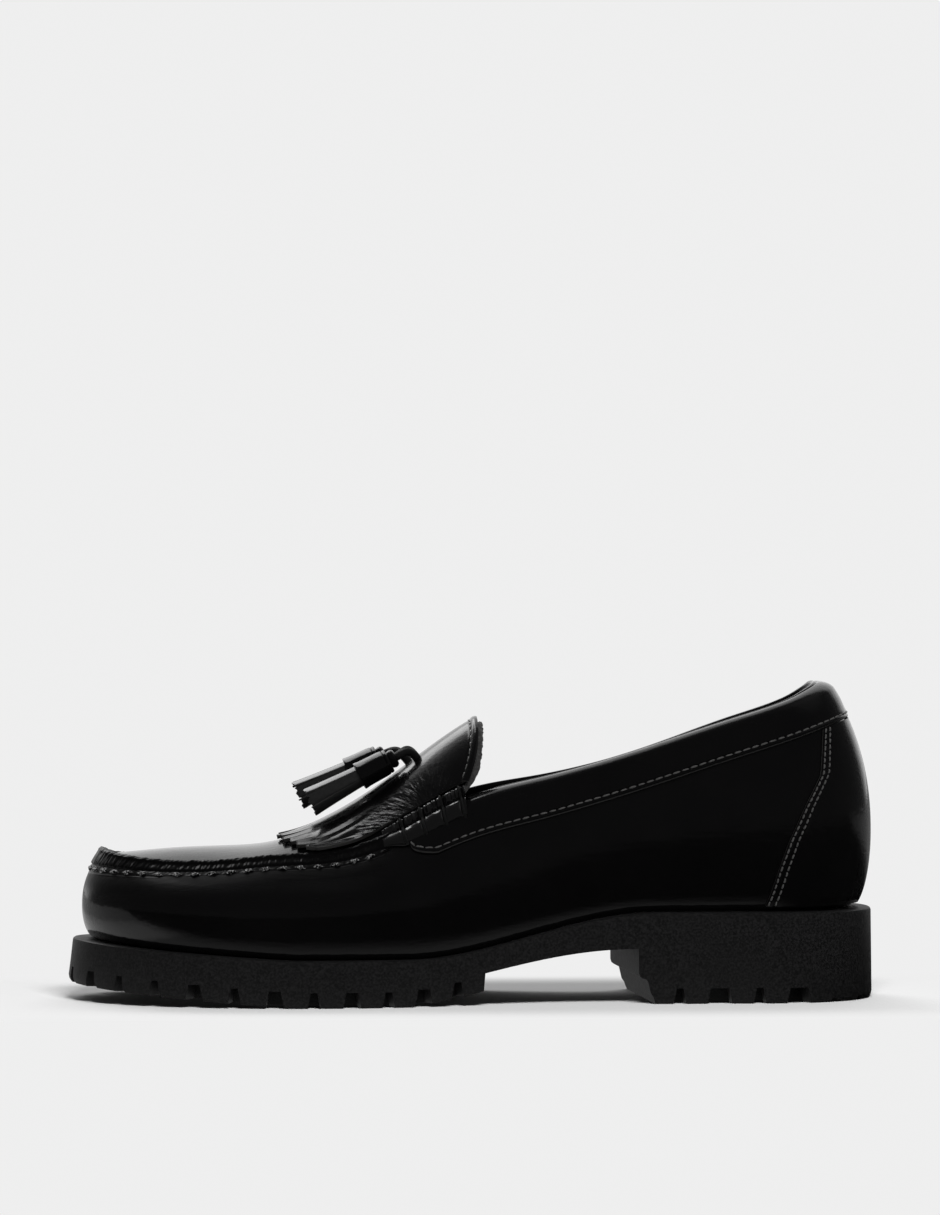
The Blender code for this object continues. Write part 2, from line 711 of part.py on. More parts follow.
def make_apron_seam(last):
    """The raised seam where apron and wall are sewn together, round the toe."""
    first, final = last.knot("vamp", "lateral"), last.knot("vamp", "medial")
    start, end = first + ROLL_START + 2 * GAP, final - ROLL_START - 2 * GAP
    params = [p for p in last.params if start + 2.0 < p < end - 2.0]
    params = [start, *params, end]
    s = last.at(params)
    rim = last.point(s, 1.0)
    foot, flank = last.below_top(s, SEAM_FOOT, GAP), last.below_top(s, SEAM_FOOT - 0.5, 1.4)
    sections = []
    for k, (x, y, z) in enumerate(rim):
        slope = edge_slope(last, x)
        nx, ny = s["nx"][k], s["ny"][k]

        def across(out, up):
            return (x + nx * out, y + ny * out, z + up)

        sections.append(
            [
                foot[k],
                flank[k],
                across(0.7, SEAM_HEIGHT - 0.7),
                across(-0.1, SEAM_HEIGHT),
                across(-1.2, SEAM_HEIGHT - 0.5 + 0.3 * slope),
                across(-1.5, 0.6 + 1.5 * slope),
                across(0.0, 0.6),
            ]
        )
    return shade(closed_loft("apron_seam", sections, LEATHER), 60.0)


def make_side_roll(last, side):
    """The rolled and whipped seam beside the tongue: a bead that swells between its wraps."""
    first, final = last.knot("vamp", side), last.knot("throat", side)
    back = 1.0 if final > first else -1.0
    params = np.linspace(first - back * ROLL_START, final - back * 2.0, 4 * ROLL_WRAPS + 1)
    s = last.at(params)
    rim = last.point(s, 1.0)
    sections = []
    for k, joint in enumerate(rim):
        here = {name: column[k : k + 1] for name, column in s.items()}
        swell = 0.82 + 0.18 * abs(math.sin(math.pi * k / 4))
        half = 0.7 * ROLL_REACH / np.linalg.norm(last.arch(joint[0], 1.0) - last.arch(joint[0], 0.0))
        w = half if side == "lateral" else 1.0 - half
        lift = 0.5 * ROLL_HEIGHT * swell
        low = last.below_top(here, ROLL_REACH, GAP)[0]
        low_side = last.below_top(here, ROLL_REACH, lift)[0]
        high = last.arch(joint[0], w, GAP + 0.15)
        high_side = last.arch(joint[0], w, lift)
        out = (low_side - low) + (high_side - high)
        out = out / np.linalg.norm(out)
        top = joint + out * ROLL_HEIGHT * swell
        sections.append(
            [
                low,
                low_side,
                0.5 * (low_side + top) + 0.5 * out,
                top,
                0.5 * (high_side + top) + 0.5 * out,
                high_side,
                high,
                joint + 0.6 * out,
            ]
        )
    return shade(closed_loft(f"side_roll_{side}", sections, LEATHER), 60.0)


def turned(name, profile, steps, material):
    """A closed shape turned about its own Z axis from a profile of (radius, height)."""
    bm = bmesh.new()
    points = add_points(bm, [(r, 0.0, z) for r, z in profile])
    for a, b in zip(points[:-1], points[1:]):
        bm.edges.new((a, b))
    obj = new_object(name, bm, material)
    screw = obj.modifiers.new("Turn", "SCREW")
    screw.steps = screw.render_steps = steps
    screw.use_normal_calculate = True
    screw.use_merge_vertices = True
    screw.merge_threshold = 0.00001
    return obj


def make_tassel(place):
    """A tassel: a wrapped head and barrel, with leather strips fused on round its core."""
    length = TASSEL_LENGTH
    profile = (
        (0.0, 0.0),
        (2.6, 0.0),
        (3.4, -0.8),
        (3.4, -2.6),
        (4.3, -3.2),
        (4.6, -15.4),
        (4.0, -15.8),
        (3.4, -length * 0.8),
        (0.0, -length * 0.8),
    )
    tassel = turned(f"tassel_{place.side}", profile, 20, LEATHER)
    bm = bmesh.new()
    for k in range(TASSEL_STRIPS):
        angle = 2 * math.pi * k / TASSEL_STRIPS
        out = (math.cos(angle), math.sin(angle))
        along = (-out[1], out[0])
        drop = length - 1.6 * ((k * 3) % 4) / 3
        ends = []
        for z, (near, far, inner, outer) in ((-STRIP_START, STRIP_ROOT), (-drop, STRIP_TIP)):
            corners = ((near, -inner), (far, -outer), (far, outer), (near, inner))
            ends.append(
                add_points(bm, [(out[0] * r + along[0] * a, out[1] * r + along[1] * a, z) for r, a in corners])
            )
        join_rows(bm, ends, closed=True)
        bm.faces.new(ends[0])
        bm.faces.new(ends[1])
    bmesh.ops.recalc_face_normals(bm, faces=bm.faces)
    strips = as_cutter(move_to_cutters(new_object(f"tassel_strips_{place.side}", bm, LEATHER)))
    cut(tassel, strips, "UNION")
    axis = Vector(place.head) - Vector(place.tip)
    for obj in (tassel, strips):
        obj.rotation_mode = "QUATERNION"
        obj.rotation_quaternion = axis.to_track_quat("Z", "Y")
        obj.location = Vector(place.head) * MM
    return shade(tassel)


def make_lace(last, place):
    """The lace that loops from the kiltie to the tassel's head."""
    x, y = place.root
    left, right = last.arch(x, 0.0)[1], last.arch(x, 1.0)[1]
    w = (y - left) / (right - left)
    foot = Vector(last.arch(x, w, KILTIE_GAP + SHEET + 0.3))
    up = (Vector(last.arch(x, w, 6.0)) - foot).normalized()
    axis = (Vector(place.head) - Vector(place.tip)).normalized()
    start, end = foot + up * 0.1, Vector(place.head) + axis * 0.3
    pull_out, pull_in = start + up * LACE_PULL_OUT, end + axis * LACE_PULL_IN
    data = bpy.data.curves.new(f"tassel_lace_{place.side}", "CURVE")
    data.dimensions = "3D"
    data.bevel_depth = LACE_RADIUS * MM
    data.bevel_resolution = 2
    data.use_fill_caps = True
    route = data.splines.new("POLY")
    count = 9
    route.points.add(count - 1)
    for k in range(count):
        t = k / (count - 1)
        p = (
            start * (1 - t) ** 3
            + pull_out * 3 * t * (1 - t) ** 2
            + pull_in * 3 * t * t * (1 - t)
            + end * t**3
        )
        route.points[k].co = (*(p * MM), 1.0)
    obj = bpy.data.objects.new(data.name, data)
    data.materials.append(LEATHER)
    PARTS.objects.link(obj)
    return obj


def main():
    last = Last()
    shoe = bpy.data.objects.new("loafer", None)
    PARTS.objects.link(shoe)
    pieces = [make_outsole(last), make_insole(last), make_upper(last), make_tongue(last)]
    pieces += [make_kiltie(last), make_collar_band(last), make_heel_counter(last), make_apron_seam(last)]
    pieces += [make_side_roll(last, side) for side in ("lateral", "medial")]
    for place in TASSELS:
        pieces += [make_tassel(place), make_lace(last, place)]
    for piece in pieces:
        piece.parent = shoe


for old in list(bpy.data.objects):
    bpy.data.objects.remove(old)
PARTS = bpy.data.collections.new("loafer")
CUTTERS = bpy.data.collections.new("cutters")
bpy.context.scene.collection.children.link(PARTS)
bpy.context.scene.collection.children.link(CUTTERS)
RUBBER = leather("black_rubber", (0.018, 0.018, 0.019), 0.62)
LEATHER = leather("black_polished_leather", (0.008, 0.008, 0.009), 0.16)
LINING = leather("black_lining_leather", (0.02, 0.019, 0.018), 0.55)
main()
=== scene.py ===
"""Looks of the tassel loafer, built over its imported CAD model.

Frame: +Z up, the floor at Z = 0, the toe towards -X, the lateral (outer) side towards -Y.
Sizes are worked out in millimetres, and each mesh is scaled to metres when it is made.
"""

import json
import math
from collections import namedtuple

import bmesh
import bpy
import numpy as np
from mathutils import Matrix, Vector

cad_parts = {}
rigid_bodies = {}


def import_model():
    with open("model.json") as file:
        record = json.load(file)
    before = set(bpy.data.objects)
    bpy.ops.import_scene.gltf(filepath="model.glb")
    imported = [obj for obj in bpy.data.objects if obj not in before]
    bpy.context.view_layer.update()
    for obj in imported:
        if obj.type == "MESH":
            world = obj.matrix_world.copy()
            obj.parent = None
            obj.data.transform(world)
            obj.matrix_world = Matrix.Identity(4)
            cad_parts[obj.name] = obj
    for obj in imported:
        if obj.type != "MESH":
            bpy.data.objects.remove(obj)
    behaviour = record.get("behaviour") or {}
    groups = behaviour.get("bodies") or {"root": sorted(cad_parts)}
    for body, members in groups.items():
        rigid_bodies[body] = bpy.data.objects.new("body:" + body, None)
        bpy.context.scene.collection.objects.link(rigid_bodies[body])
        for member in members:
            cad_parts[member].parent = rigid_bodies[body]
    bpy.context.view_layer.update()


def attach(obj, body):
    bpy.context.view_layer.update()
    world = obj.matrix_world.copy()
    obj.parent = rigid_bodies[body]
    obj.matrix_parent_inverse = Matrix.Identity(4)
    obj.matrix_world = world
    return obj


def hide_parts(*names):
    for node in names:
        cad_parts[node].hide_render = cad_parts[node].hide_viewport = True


MM = 0.001
UP = np.array([0.0, 0.0, 1.0])

# Driving dimensions, the same as in the CAD source, in millimetres.
SOLE_LENGTH = 300.0
BALL_WIDTH = 106.0
BACK_HEIGHT = 117.2
HEEL_HEIGHT = 33.6
FOREFOOT_THICKNESS = 17.3
TOE_RISE = 5.6
TOE_SPRING = 6.5
WALL = 2.0
GAP = 0.35

# The sections of the last, from the heel's back to the toe's tip.
# along: share of the sole's length. lateral, medial: the sole's edge, as shares of the ball's width.
# ledge: from the sole's edge in to the feather line. bulge, rise: how far the wall swells past the
# feather line, and how high above it. lateral_in, medial_in: from the feather line in to the wall's
# top edge. lateral_top, medial_top: height of that edge, as shares of the back's height.
Section = namedtuple(
    "Section",
    "name along lateral medial ledge bulge rise lateral_in medial_in lateral_top medial_top",
)
SECTIONS = (
    Section("heel_back", 0.000, 0.000, 0.000, 9.2, 7.5, 28.0, 8.0, 8.0, 1.000, 1.000),
    Section("heel_curve", 0.023, 0.208, 0.206, 8.3, 6.7, 28.0, 7.3, 7.3, 0.995, 0.993),
    Section("heel_round", 0.080, 0.330, 0.322, 6.6, 5.0, 26.0, 6.2, 5.7, 0.963, 0.951),
    Section("heel_seat", 0.167, 0.358, 0.342, 5.8, 4.0, 24.0, 4.5, 4.0, 0.900, 0.885),
    Section("heel_breast", 0.283, 0.363, 0.325, 5.5, 3.5, 22.0, 3.5, 2.5, 0.804, 0.780),
    Section("waist", 0.417, 0.378, 0.318, 5.0, 3.2, 20.0, 4.5, 1.5, 0.704, 0.690),
    Section("throat", 0.500, 0.416, 0.360, 5.0, 3.0, 18.5, 8.5, 5.0, 0.643, 0.641),
    Section("vamp", 0.593, 0.472, 0.440, 5.0, 3.0, 16.5, 13.7, 12.3, 0.522, 0.522),
    Section("joint", 0.650, 0.496, 0.478, 5.0, 3.1, 15.5, 15.5, 15.5, 0.471, 0.474),
    Section("ball", 0.740, 0.499, 0.499, 5.0, 3.2, 14.5, 15.5, 16.5, 0.452, 0.456),
    Section("toes", 0.833, 0.460, 0.468, 5.5, 3.4, 13.5, 14.0, 15.0, 0.433, 0.437),
    Section("shoulder", 0.913, 0.364, 0.385, 6.5, 3.8, 13.0, 10.0, 10.5, 0.432, 0.434),
    Section("toe_curve", 0.970, 0.208, 0.264, 8.2, 4.4, 12.5, 5.0, 5.0, 0.444, 0.444),
    Section("toe_tip", 1.000, -0.040, 0.040, 9.8, 4.9, 12.0, 1.4, 1.4, 0.454, 0.454),
)
SEAM_SECTION = 7
BULGE_AT = 3 / 7
SHOULDER_POWER = 2.2

# The crest line of the vamp and tongue, from the toe back: X, and height above the floor.
CREST = (
    (-139.0, 53.2), (-125.0, 54.7), (-108.0, 56.1), (-90.0, 56.7), (-74.0, 58.2),
    (-60.0, 62.9), (-36.0, 76.3), (-16.0, 91.0), (0.0, 101.8), (8.0, 106.0),
)
ARCH_POWER = 2.2

# Sole.
FLAT_FROM, FLAT_TO = -66.0, -27.0
TREAD_END = 3.0
TREAD_END_RISE = 5.5
SHANK_FROM, SHANK_TO = -25.0, 67.0
ARCH_START, ARCH_END = 12.0, 20.4
BREAST_AT = 57.0
BREAST_SKEW = 0.071
TOE_FLARE = 1.2
LUG_PITCH, LUG_PITCH_GROWTH = 12.8, 0.39
HEEL_LUG_PITCH = 14.8
LUG_DEPTH = 5.8
LUG_LENGTH = 12.0
NARROW_NOTCH, WIDE_NOTCH, HEEL_NOTCH = 2.4, 4.3, 6.8
WIDE_PLACES = (1, 3, 5, 7, 10)
NOTCH_FLARE = 1.6
BACK_NOTCH_DEPTH = 1.6
CHANNEL_INSET = 13.0
CHANNEL_WIDTH = 4.0
CHANNEL_DEPTH = 4.6
GROOVE_DEPTH = 4.0
GROOVE_PITCH = 28.2
GROOVE_FIRST, HEEL_GROOVE = -122.0, 82.0
GROOVE_LOW_HALF, GROOVE_HIGH_HALF, GROOVE_REACH = 2.6, 1.9, 24.0
CHANNEL_TAPER = 0.6
FRONT_CHANNEL_END, HEEL_CHANNEL_START = TREAD_END - 8.0, BREAST_AT + 18.0
LUGS_FROM_THROAT, LUGS_FROM_BREAST, LUGS_TO_BREAST = 7.3, 9.9, 6.0
BACK_NOTCHES_FROM = SOLE_LENGTH * 0.42
NOTCH_OVERHANG = 5.0
OVERCUT = 2.0
SOLE_SOFT_EDGE, SOLE_SOFT_ANGLE = 0.35, 32.0
# The sole's upper edge: in from the outline, and down from the upper face.
SOLE_UPPER_EDGE = ((1.9, 0.0), (1.1, 0.12), (0.6, 0.45), (0.35, 1.1))
# The sole's lower edge: in from the outline, and up from the tread.
SOLE_LOWER_EDGE = ((0.0, 2.4), (0.25, 1.1), (1.0, 0.0))
# The steps of the heel's breast: back from the breast line, and height above the floor.
BREAST_STEPS = (
    (0.1, 11.4), (0.5, 10.2), (1.4, 9.5), (2.8, 9.1),
    (3.4, 8.4), (4.4, 4.2), (5.4, 2.6), (7.4, -3.0),
)

# Pieces of leather.
INSOLE_THICKNESS = 3.0
INSOLE_CLEARANCE = 2.4
# The insole's upper face, from its middle out: in from its edge, and down from its top.
INSOLE_SEWN_AT = 4.4
INSOLE_FACE = (
    (9.0, 0.25), (5.2, 0.15), (INSOLE_SEWN_AT, 0.45), (3.6, 0.15),
    (1.2, 0.05), (0.4, 0.35), (0.0, 1.0), (0.0, INSOLE_THICKNESS),
)
TONGUE_FROM = -27.4
TONGUE_END = 4.2
TONGUE_MARGIN = 3.6
KILTIE_FRONT = -71.0
KILTIE_SLIT = 13.0
KILTIE_STRIPS = 12
KILTIE_GAP = 0.5
SHEET = 1.5
BAND_WIDTH = 15.0
BAND_THICKNESS = 1.3
BAND_STEP = 23.2
COUNTER_THICKNESS = 1.0
SEAM_HEIGHT = 3.0
BAND_FROM_VAMP = 6.0
BAND_PAD = 0.15
COLLAR_ROLL_FROM = 3.2
COLLAR_APEX_IN, COLLAR_APEX_UP = 2.7, 0.5
COLLAR_PULL_OUT, COLLAR_PULL_IN = 1.8, 2.8
COUNTER_PAST_SEAT, COUNTER_FOOT = 16.0, 0.11
LASTING_WAVE = 0.12
UPPER_DULL_DEPTH, UPPER_DULL_AT = (10.0, 18.0), (-45.0, -25.0)
SEAM_DULL = 0.72
ROLL_REACH = 4.2
ROLL_LOW_LOBE, ROLL_HIGH_LOBE = 2.7, 2.4
ROLL_START = 3.0
ROLL_TIES = (0.24, 0.48, 0.73, 0.95)
CORD_RADIUS, CORD_LIFT = 0.55, 0.28
KILTIE_SIDE_TRIM, KILTIE_SLIT_SHARE = 11.6, 0.055
PINKING = 0.9
KILTIE_SOFT_EDGE, KILTIE_SOFT_ANGLE = 0.4, 50.0
# The kiltie's fine creases: turns round their centre, and height.
KILTIE_CREASES = ((31.0, 0.08), (53.0, 0.06), (83.0, 0.035))

# Tassels.
TASSEL_LENGTH = 36.6
TASSEL_STRIPS = 7
TASSEL_TURNS = (118.0, 116.0)
LACE_PULL_OUT, LACE_PULL_IN = 5.0, 4.0
# The lace's two runs: added to its pull at the kiltie, added to that at the tassel, and offset to the side.
LACE_RUNS = ((2.0, 1.4, 0.9), (0.9, 0.7, -0.9))
LACE_RADIUS = 2.0
# The tassel's knob and core: radius, and distance from the head.
KNOB = (
    (1.6, 0.0), (2.7, 0.15), (3.3, 0.7), (3.5, 1.5), (3.3, 2.4),
    (3.0, 3.0), (2.9, 4.2), (3.0, 20.0), (2.0, 28.0),
)
# The barrel's wrap, row by row: distance from the head, outer radius, and thickness.
BARREL_DROP = (2.9, 3.0, 3.3, 4.0, 4.3, 4.6, 6.0, 8.5, 11.0, 13.5, 15.0, 15.5, 15.6)
BARREL_RADIUS = (3.7, 4.0, 4.25, 4.3, 4.1, 4.4, 4.55, 4.6, 4.65, 4.75, 4.95, 4.9, 4.5)
BARREL_WRAP = (0.3, 0.6, 0.9, 0.9, 0.8, 0.9, 0.9, 0.9, 0.9, 0.9, 0.85, 0.6, 0.3)
# The two layers of strips: turned by this share of a strip, distance from the axis, and half width.
STRIP_LAYERS = ((0.0, 3.6, 1.95), (0.5, 2.9, 1.7))
STRIP_ROOT, STRIP_THICKNESS = 13.0, 0.8
TasselPlace = namedtuple("TasselPlace", "side head tip root")
TASSELS = (
    TasselPlace("lateral", (-28.3, -8.0, 90.0), (-60.7, -9.0, 73.0), (-19.5, -5.0)),
    TasselPlace("medial", (-31.6, 8.0, 90.6), (-64.0, 9.0, 75.0), (-22.0, 5.0)),
)
# The front edge of the heel counter, from the sole up: X, and height above the floor.
COUNTER_FRONT = (
    (100.0, 20.0), (108.5, 39.8), (111.4, 48.7), (115.4, 59.5),
    (121.6, 72.6), (127.6, 83.8), (130.2, 112.0),
)

# Places behind the open sheets, in metres.
INSIDE_UPPER, UNDER_KILTIE = (0.0, 0.0, 0.045), (-0.030, 0.0, 0.020)

# Fine detail, in millimetres.
GATHER_PITCH = 6.3
BAND_STITCH, COUNTER_STITCH, KILTIE_STITCH, INSOLE_STITCH = 3.4, 2.3, 3.4, 3.4
BAND_ROW, FACING_ROW = 1.9, 9.0
COUNTER_ROWS = (0.9, 3.5)
KILTIE_MARGIN, STITCH_INSET = 2.0, 2.2
THREAD = 0.34
STITCH_SHARE = 0.80
BAND_DENT, COUNTER_DENT, DENT_WIDTH = 0.32, 0.2, 0.45
SEATED = 0.12
# The collar's bead, on from the apex of its roll: towards the foot, and up.
COLLAR_BEAD = (
    (0.4, -0.06), (0.7, -0.45), (0.95, -0.5), (1.15, -0.1),
    (1.6, 0.12), (2.2, 0.05), (2.6, -0.45), (2.75, -1.2),
)
# The collar's facing, down inside and back up on the wall: depth below the topline, and how far inside.
COLLAR_FACING = (
    (3.0, 5.2), (5.0, 4.5), (7.0, 3.6), (9.0, 2.8),
    (10.3, 2.5), (10.6, 2.1), (7.0, 2.1), (0.3, 2.1),
)
# The apron seam's skirt on the wall: depth below the top edge, and how far off the wall.
SEAM_SKIRT = (
    (8.0, -0.10), (7.0, -0.02), (6.2, 0.06), (5.4, 0.15),
    (4.6, 0.24), (3.9, 0.36), (3.2, 0.9),
)
# The front of the apron seam's ridge: out from the rim, and share of the ridge's height.
SEAM_FRONT = ((1.45, 0.3), (1.1, 0.65), (0.45, 0.9))
# The folds of a pucker: place across the seam, and half length.
PUCKER_FOLDS = ((1.9, 1.1), (2.5, 1.7), (3.1, 1.2))
PUCKER_RADIUS = 0.44
LOBE_HEIGHT, WAVE_HEIGHT, WRINKLE_HEIGHT = 0.11, 0.06, 0.055
BEAD_LENGTH = 1.3

# Studio, in metres and watts. The floor and the backdrop have the photograph's pale grey.
BACKGROUND = (0.86, 0.86, 0.86, 1.0)
FLOOR_HALF = 9.0
FLOOR_COLOUR = (0.80, 0.80, 0.80, 1.0)
FOOTPRINT = (0.150, 0.054, 0.0)
FOOTPRINT_FADE = 0.05
AIM = (0.0, 0.0, 0.0)
Lamp = namedtuple("Lamp", "name place size power")
LAMPS = (
    Lamp("key", (0.0, 0.9, 1.30), (1.2, 0.5), 5.0),
    Lamp("front", (0.15, -1.0, 1.25), (0.6, 0.4), 23.0),
)
# Light from the studio's sky. A limit: direction, where its light starts and is full, and how bright.
Limit = namedtuple("Limit", "direction start end most", defaults=(1.0,))
BACKDROP = (Limit((0.0, 1.0, 0.45), 0.68, 0.94, 0.90),)
OVERHEAD = (Limit((0.45, -0.1, 0.85), 0.80, 0.98, 0.12),)
TOE_BOX = (
    Limit((-1.22, 1.0, 0.0), 0.74, 0.90),
    Limit((-1.0, 0.0, 0.0), 0.08, 0.24),
    Limit((0.0, 1.0, 0.0), 0.52, 0.66),
    Limit((0.0, 0.0, 1.0), 0.30, 0.50, 3.0),
    Limit((1.0, 0.0, 0.0), -0.64, -0.54),
)
HIGH_BOX = (
    Limit((1.0, 0.0, 0.0), -0.42, -0.36),
    Limit((-1.0, 0.0, 0.0), 0.18, 0.26),
    Limit((0.0, 1.0, 0.0), 0.22, 0.32),
    Limit((0.0, 0.0, 1.0), 0.45, 0.60, 3.4),
)
SKY_LEVEL = 0.05
# What polished leather mirrors of the floor, in the same form, from the floor's own X and Y.
FLOOR_BEHIND = (Limit((0.0, 1.0, 0.0), -0.120, -0.060),)
FLOOR_TOE = (Limit((1.0, 0.0, 0.0), -0.13, -0.17), Limit((1.0, 0.0, 0.0), -0.42, -0.20, 0.50))
FLOOR_BESIDE = (Limit((1.0, 0.0, 0.0), 0.15, 0.09, 0.24),)
FLOOR_BEYOND = (Limit((0.0, 1.0, 0.0), 0.2, 0.6, 0.16), Limit((1.0, 0.0, 0.0), 0.20, 0.30))

# The photograph's camera, in degrees, metres and pixels of the picture's 1215 rows.
CAMERA_TURN, CAMERA_DISTANCE = 3.0, 2.2
CAMERA_HEIGHT, CAMERA_ASIDE = 0.180, -0.00041
FOCAL_PIXELS, PRINCIPAL_ROW, PICTURE_ROWS = 5898.0, 514.6, 1215
SENSOR = 36.0


def spline(knots, values, wanted, closed):
    """Cubic through values at knots, read at wanted. A closed one repeats after its last knot."""
    knots, values = np.asarray(knots, float), np.asarray(values, float)
    step = np.diff(knots)
    ends = np.append(values, values[0]) if closed else values
    chord = np.diff(ends) / step
    count = len(values)
    matrix, right = np.zeros((count, count)), np.zeros(count)
    for i in range(count):
        if not closed and i in (0, count - 1):
            inner = 1 if i == 0 else count - 2
            matrix[i, i], matrix[i, inner] = 2.0, 1.0
            right[i] = 3.0 * chord[min(i, count - 2)]
            continue
        before, after = 1.0 / step[i - 1], 1.0 / step[i]
        matrix[i, i - 1] += before
        matrix[i, i] += 2.0 * (before + after)
        matrix[i, (i + 1) % count] += after
        right[i] = 3.0 * (chord[i - 1] * before + chord[i] * after)
    slope = np.linalg.solve(matrix, right)
    slope = np.append(slope, slope[0]) if closed else slope
    wanted = np.asarray(wanted, float)
    if closed:
        wanted = knots[0] + (wanted - knots[0]) % (knots[-1] - knots[0])
    piece = np.clip(np.searchsorted(knots, wanted, "right") - 1, 0, len(step) - 1)
    width = step[piece]
    t = (wanted - knots[piece]) / width
    return (
        (1 + 2 * t) * (1 - t) ** 2 * ends[piece]
        + t * (1 - t) ** 2 * width * slope[piece]
        + t * t * (3 - 2 * t) * ends[piece + 1]
        + t * t * (t - 1) * width * slope[piece + 1]
    )


def ramp(x, start, end):
    """0 before start, 1 after end, and smooth between them."""
    t = np.clip((np.asarray(x, float) - start) / (end - start), 0.0, 1.0)
    return t * t * (3.0 - 2.0 * t)


def bell(x, width):
    """1 at 0, and falling to both sides."""
    return np.exp(-((np.asarray(x, float) / width) ** 2))


def unit(vectors):
    return vectors / np.maximum(np.linalg.norm(vectors, axis=-1, keepdims=True), 1e-9)


def run_along(points):
    """Distance along a row of points, starting at 0."""
    return np.append(0.0, np.cumsum(np.linalg.norm(np.diff(points, axis=0), axis=-1)))


def at_run(where, run, points):
    """Points, or vectors, at distances along a row of them."""
    return np.stack([np.interp(where, run, points[:, k]) for k in range(3)], axis=-1)


def bent(start, leave, arrive, end, t):
    """Points at shares t of the curve from start to end that leave and arrive pull out."""
    first, second = leave * 3 * t * (1 - t) ** 2, arrive * 3 * t * t * (1 - t)
    return start * (1 - t) ** 3 + first + second + end * t**3


def sole_top(x):
    """Height of the sole's upper face."""
    toe = np.clip((FLAT_FROM - x) / (SOLE_LENGTH / 2 + FLAT_FROM - 2.0), 0.0, 1.0)
    shank = (HEEL_HEIGHT - FOREFOOT_THICKNESS) * ramp(x, SHANK_FROM, SHANK_TO)
    return FOREFOOT_THICKNESS + shank + TOE_RISE * toe**1.1


def ground(x):
    """Height of the tread's lower face: flat under the ball and the heel, raised at toe and shank."""
    toe = np.clip((FLAT_FROM - x) / (SOLE_LENGTH / 2 + FLAT_FROM), 0.0, 1.0)
    back = np.clip((x - FLAT_TO) / (TREAD_END - FLAT_TO), 0.0, 1.0)
    heel = ramp(x, TREAD_END + 10.0, BREAST_AT - 6.0)
    return TOE_SPRING * toe**1.05 + TREAD_END_RISE * back**1.35 * (1.0 - heel)


def crest(x):
    """Height of the crest line."""
    return spline(*zip(*CREST), x, closed=False)


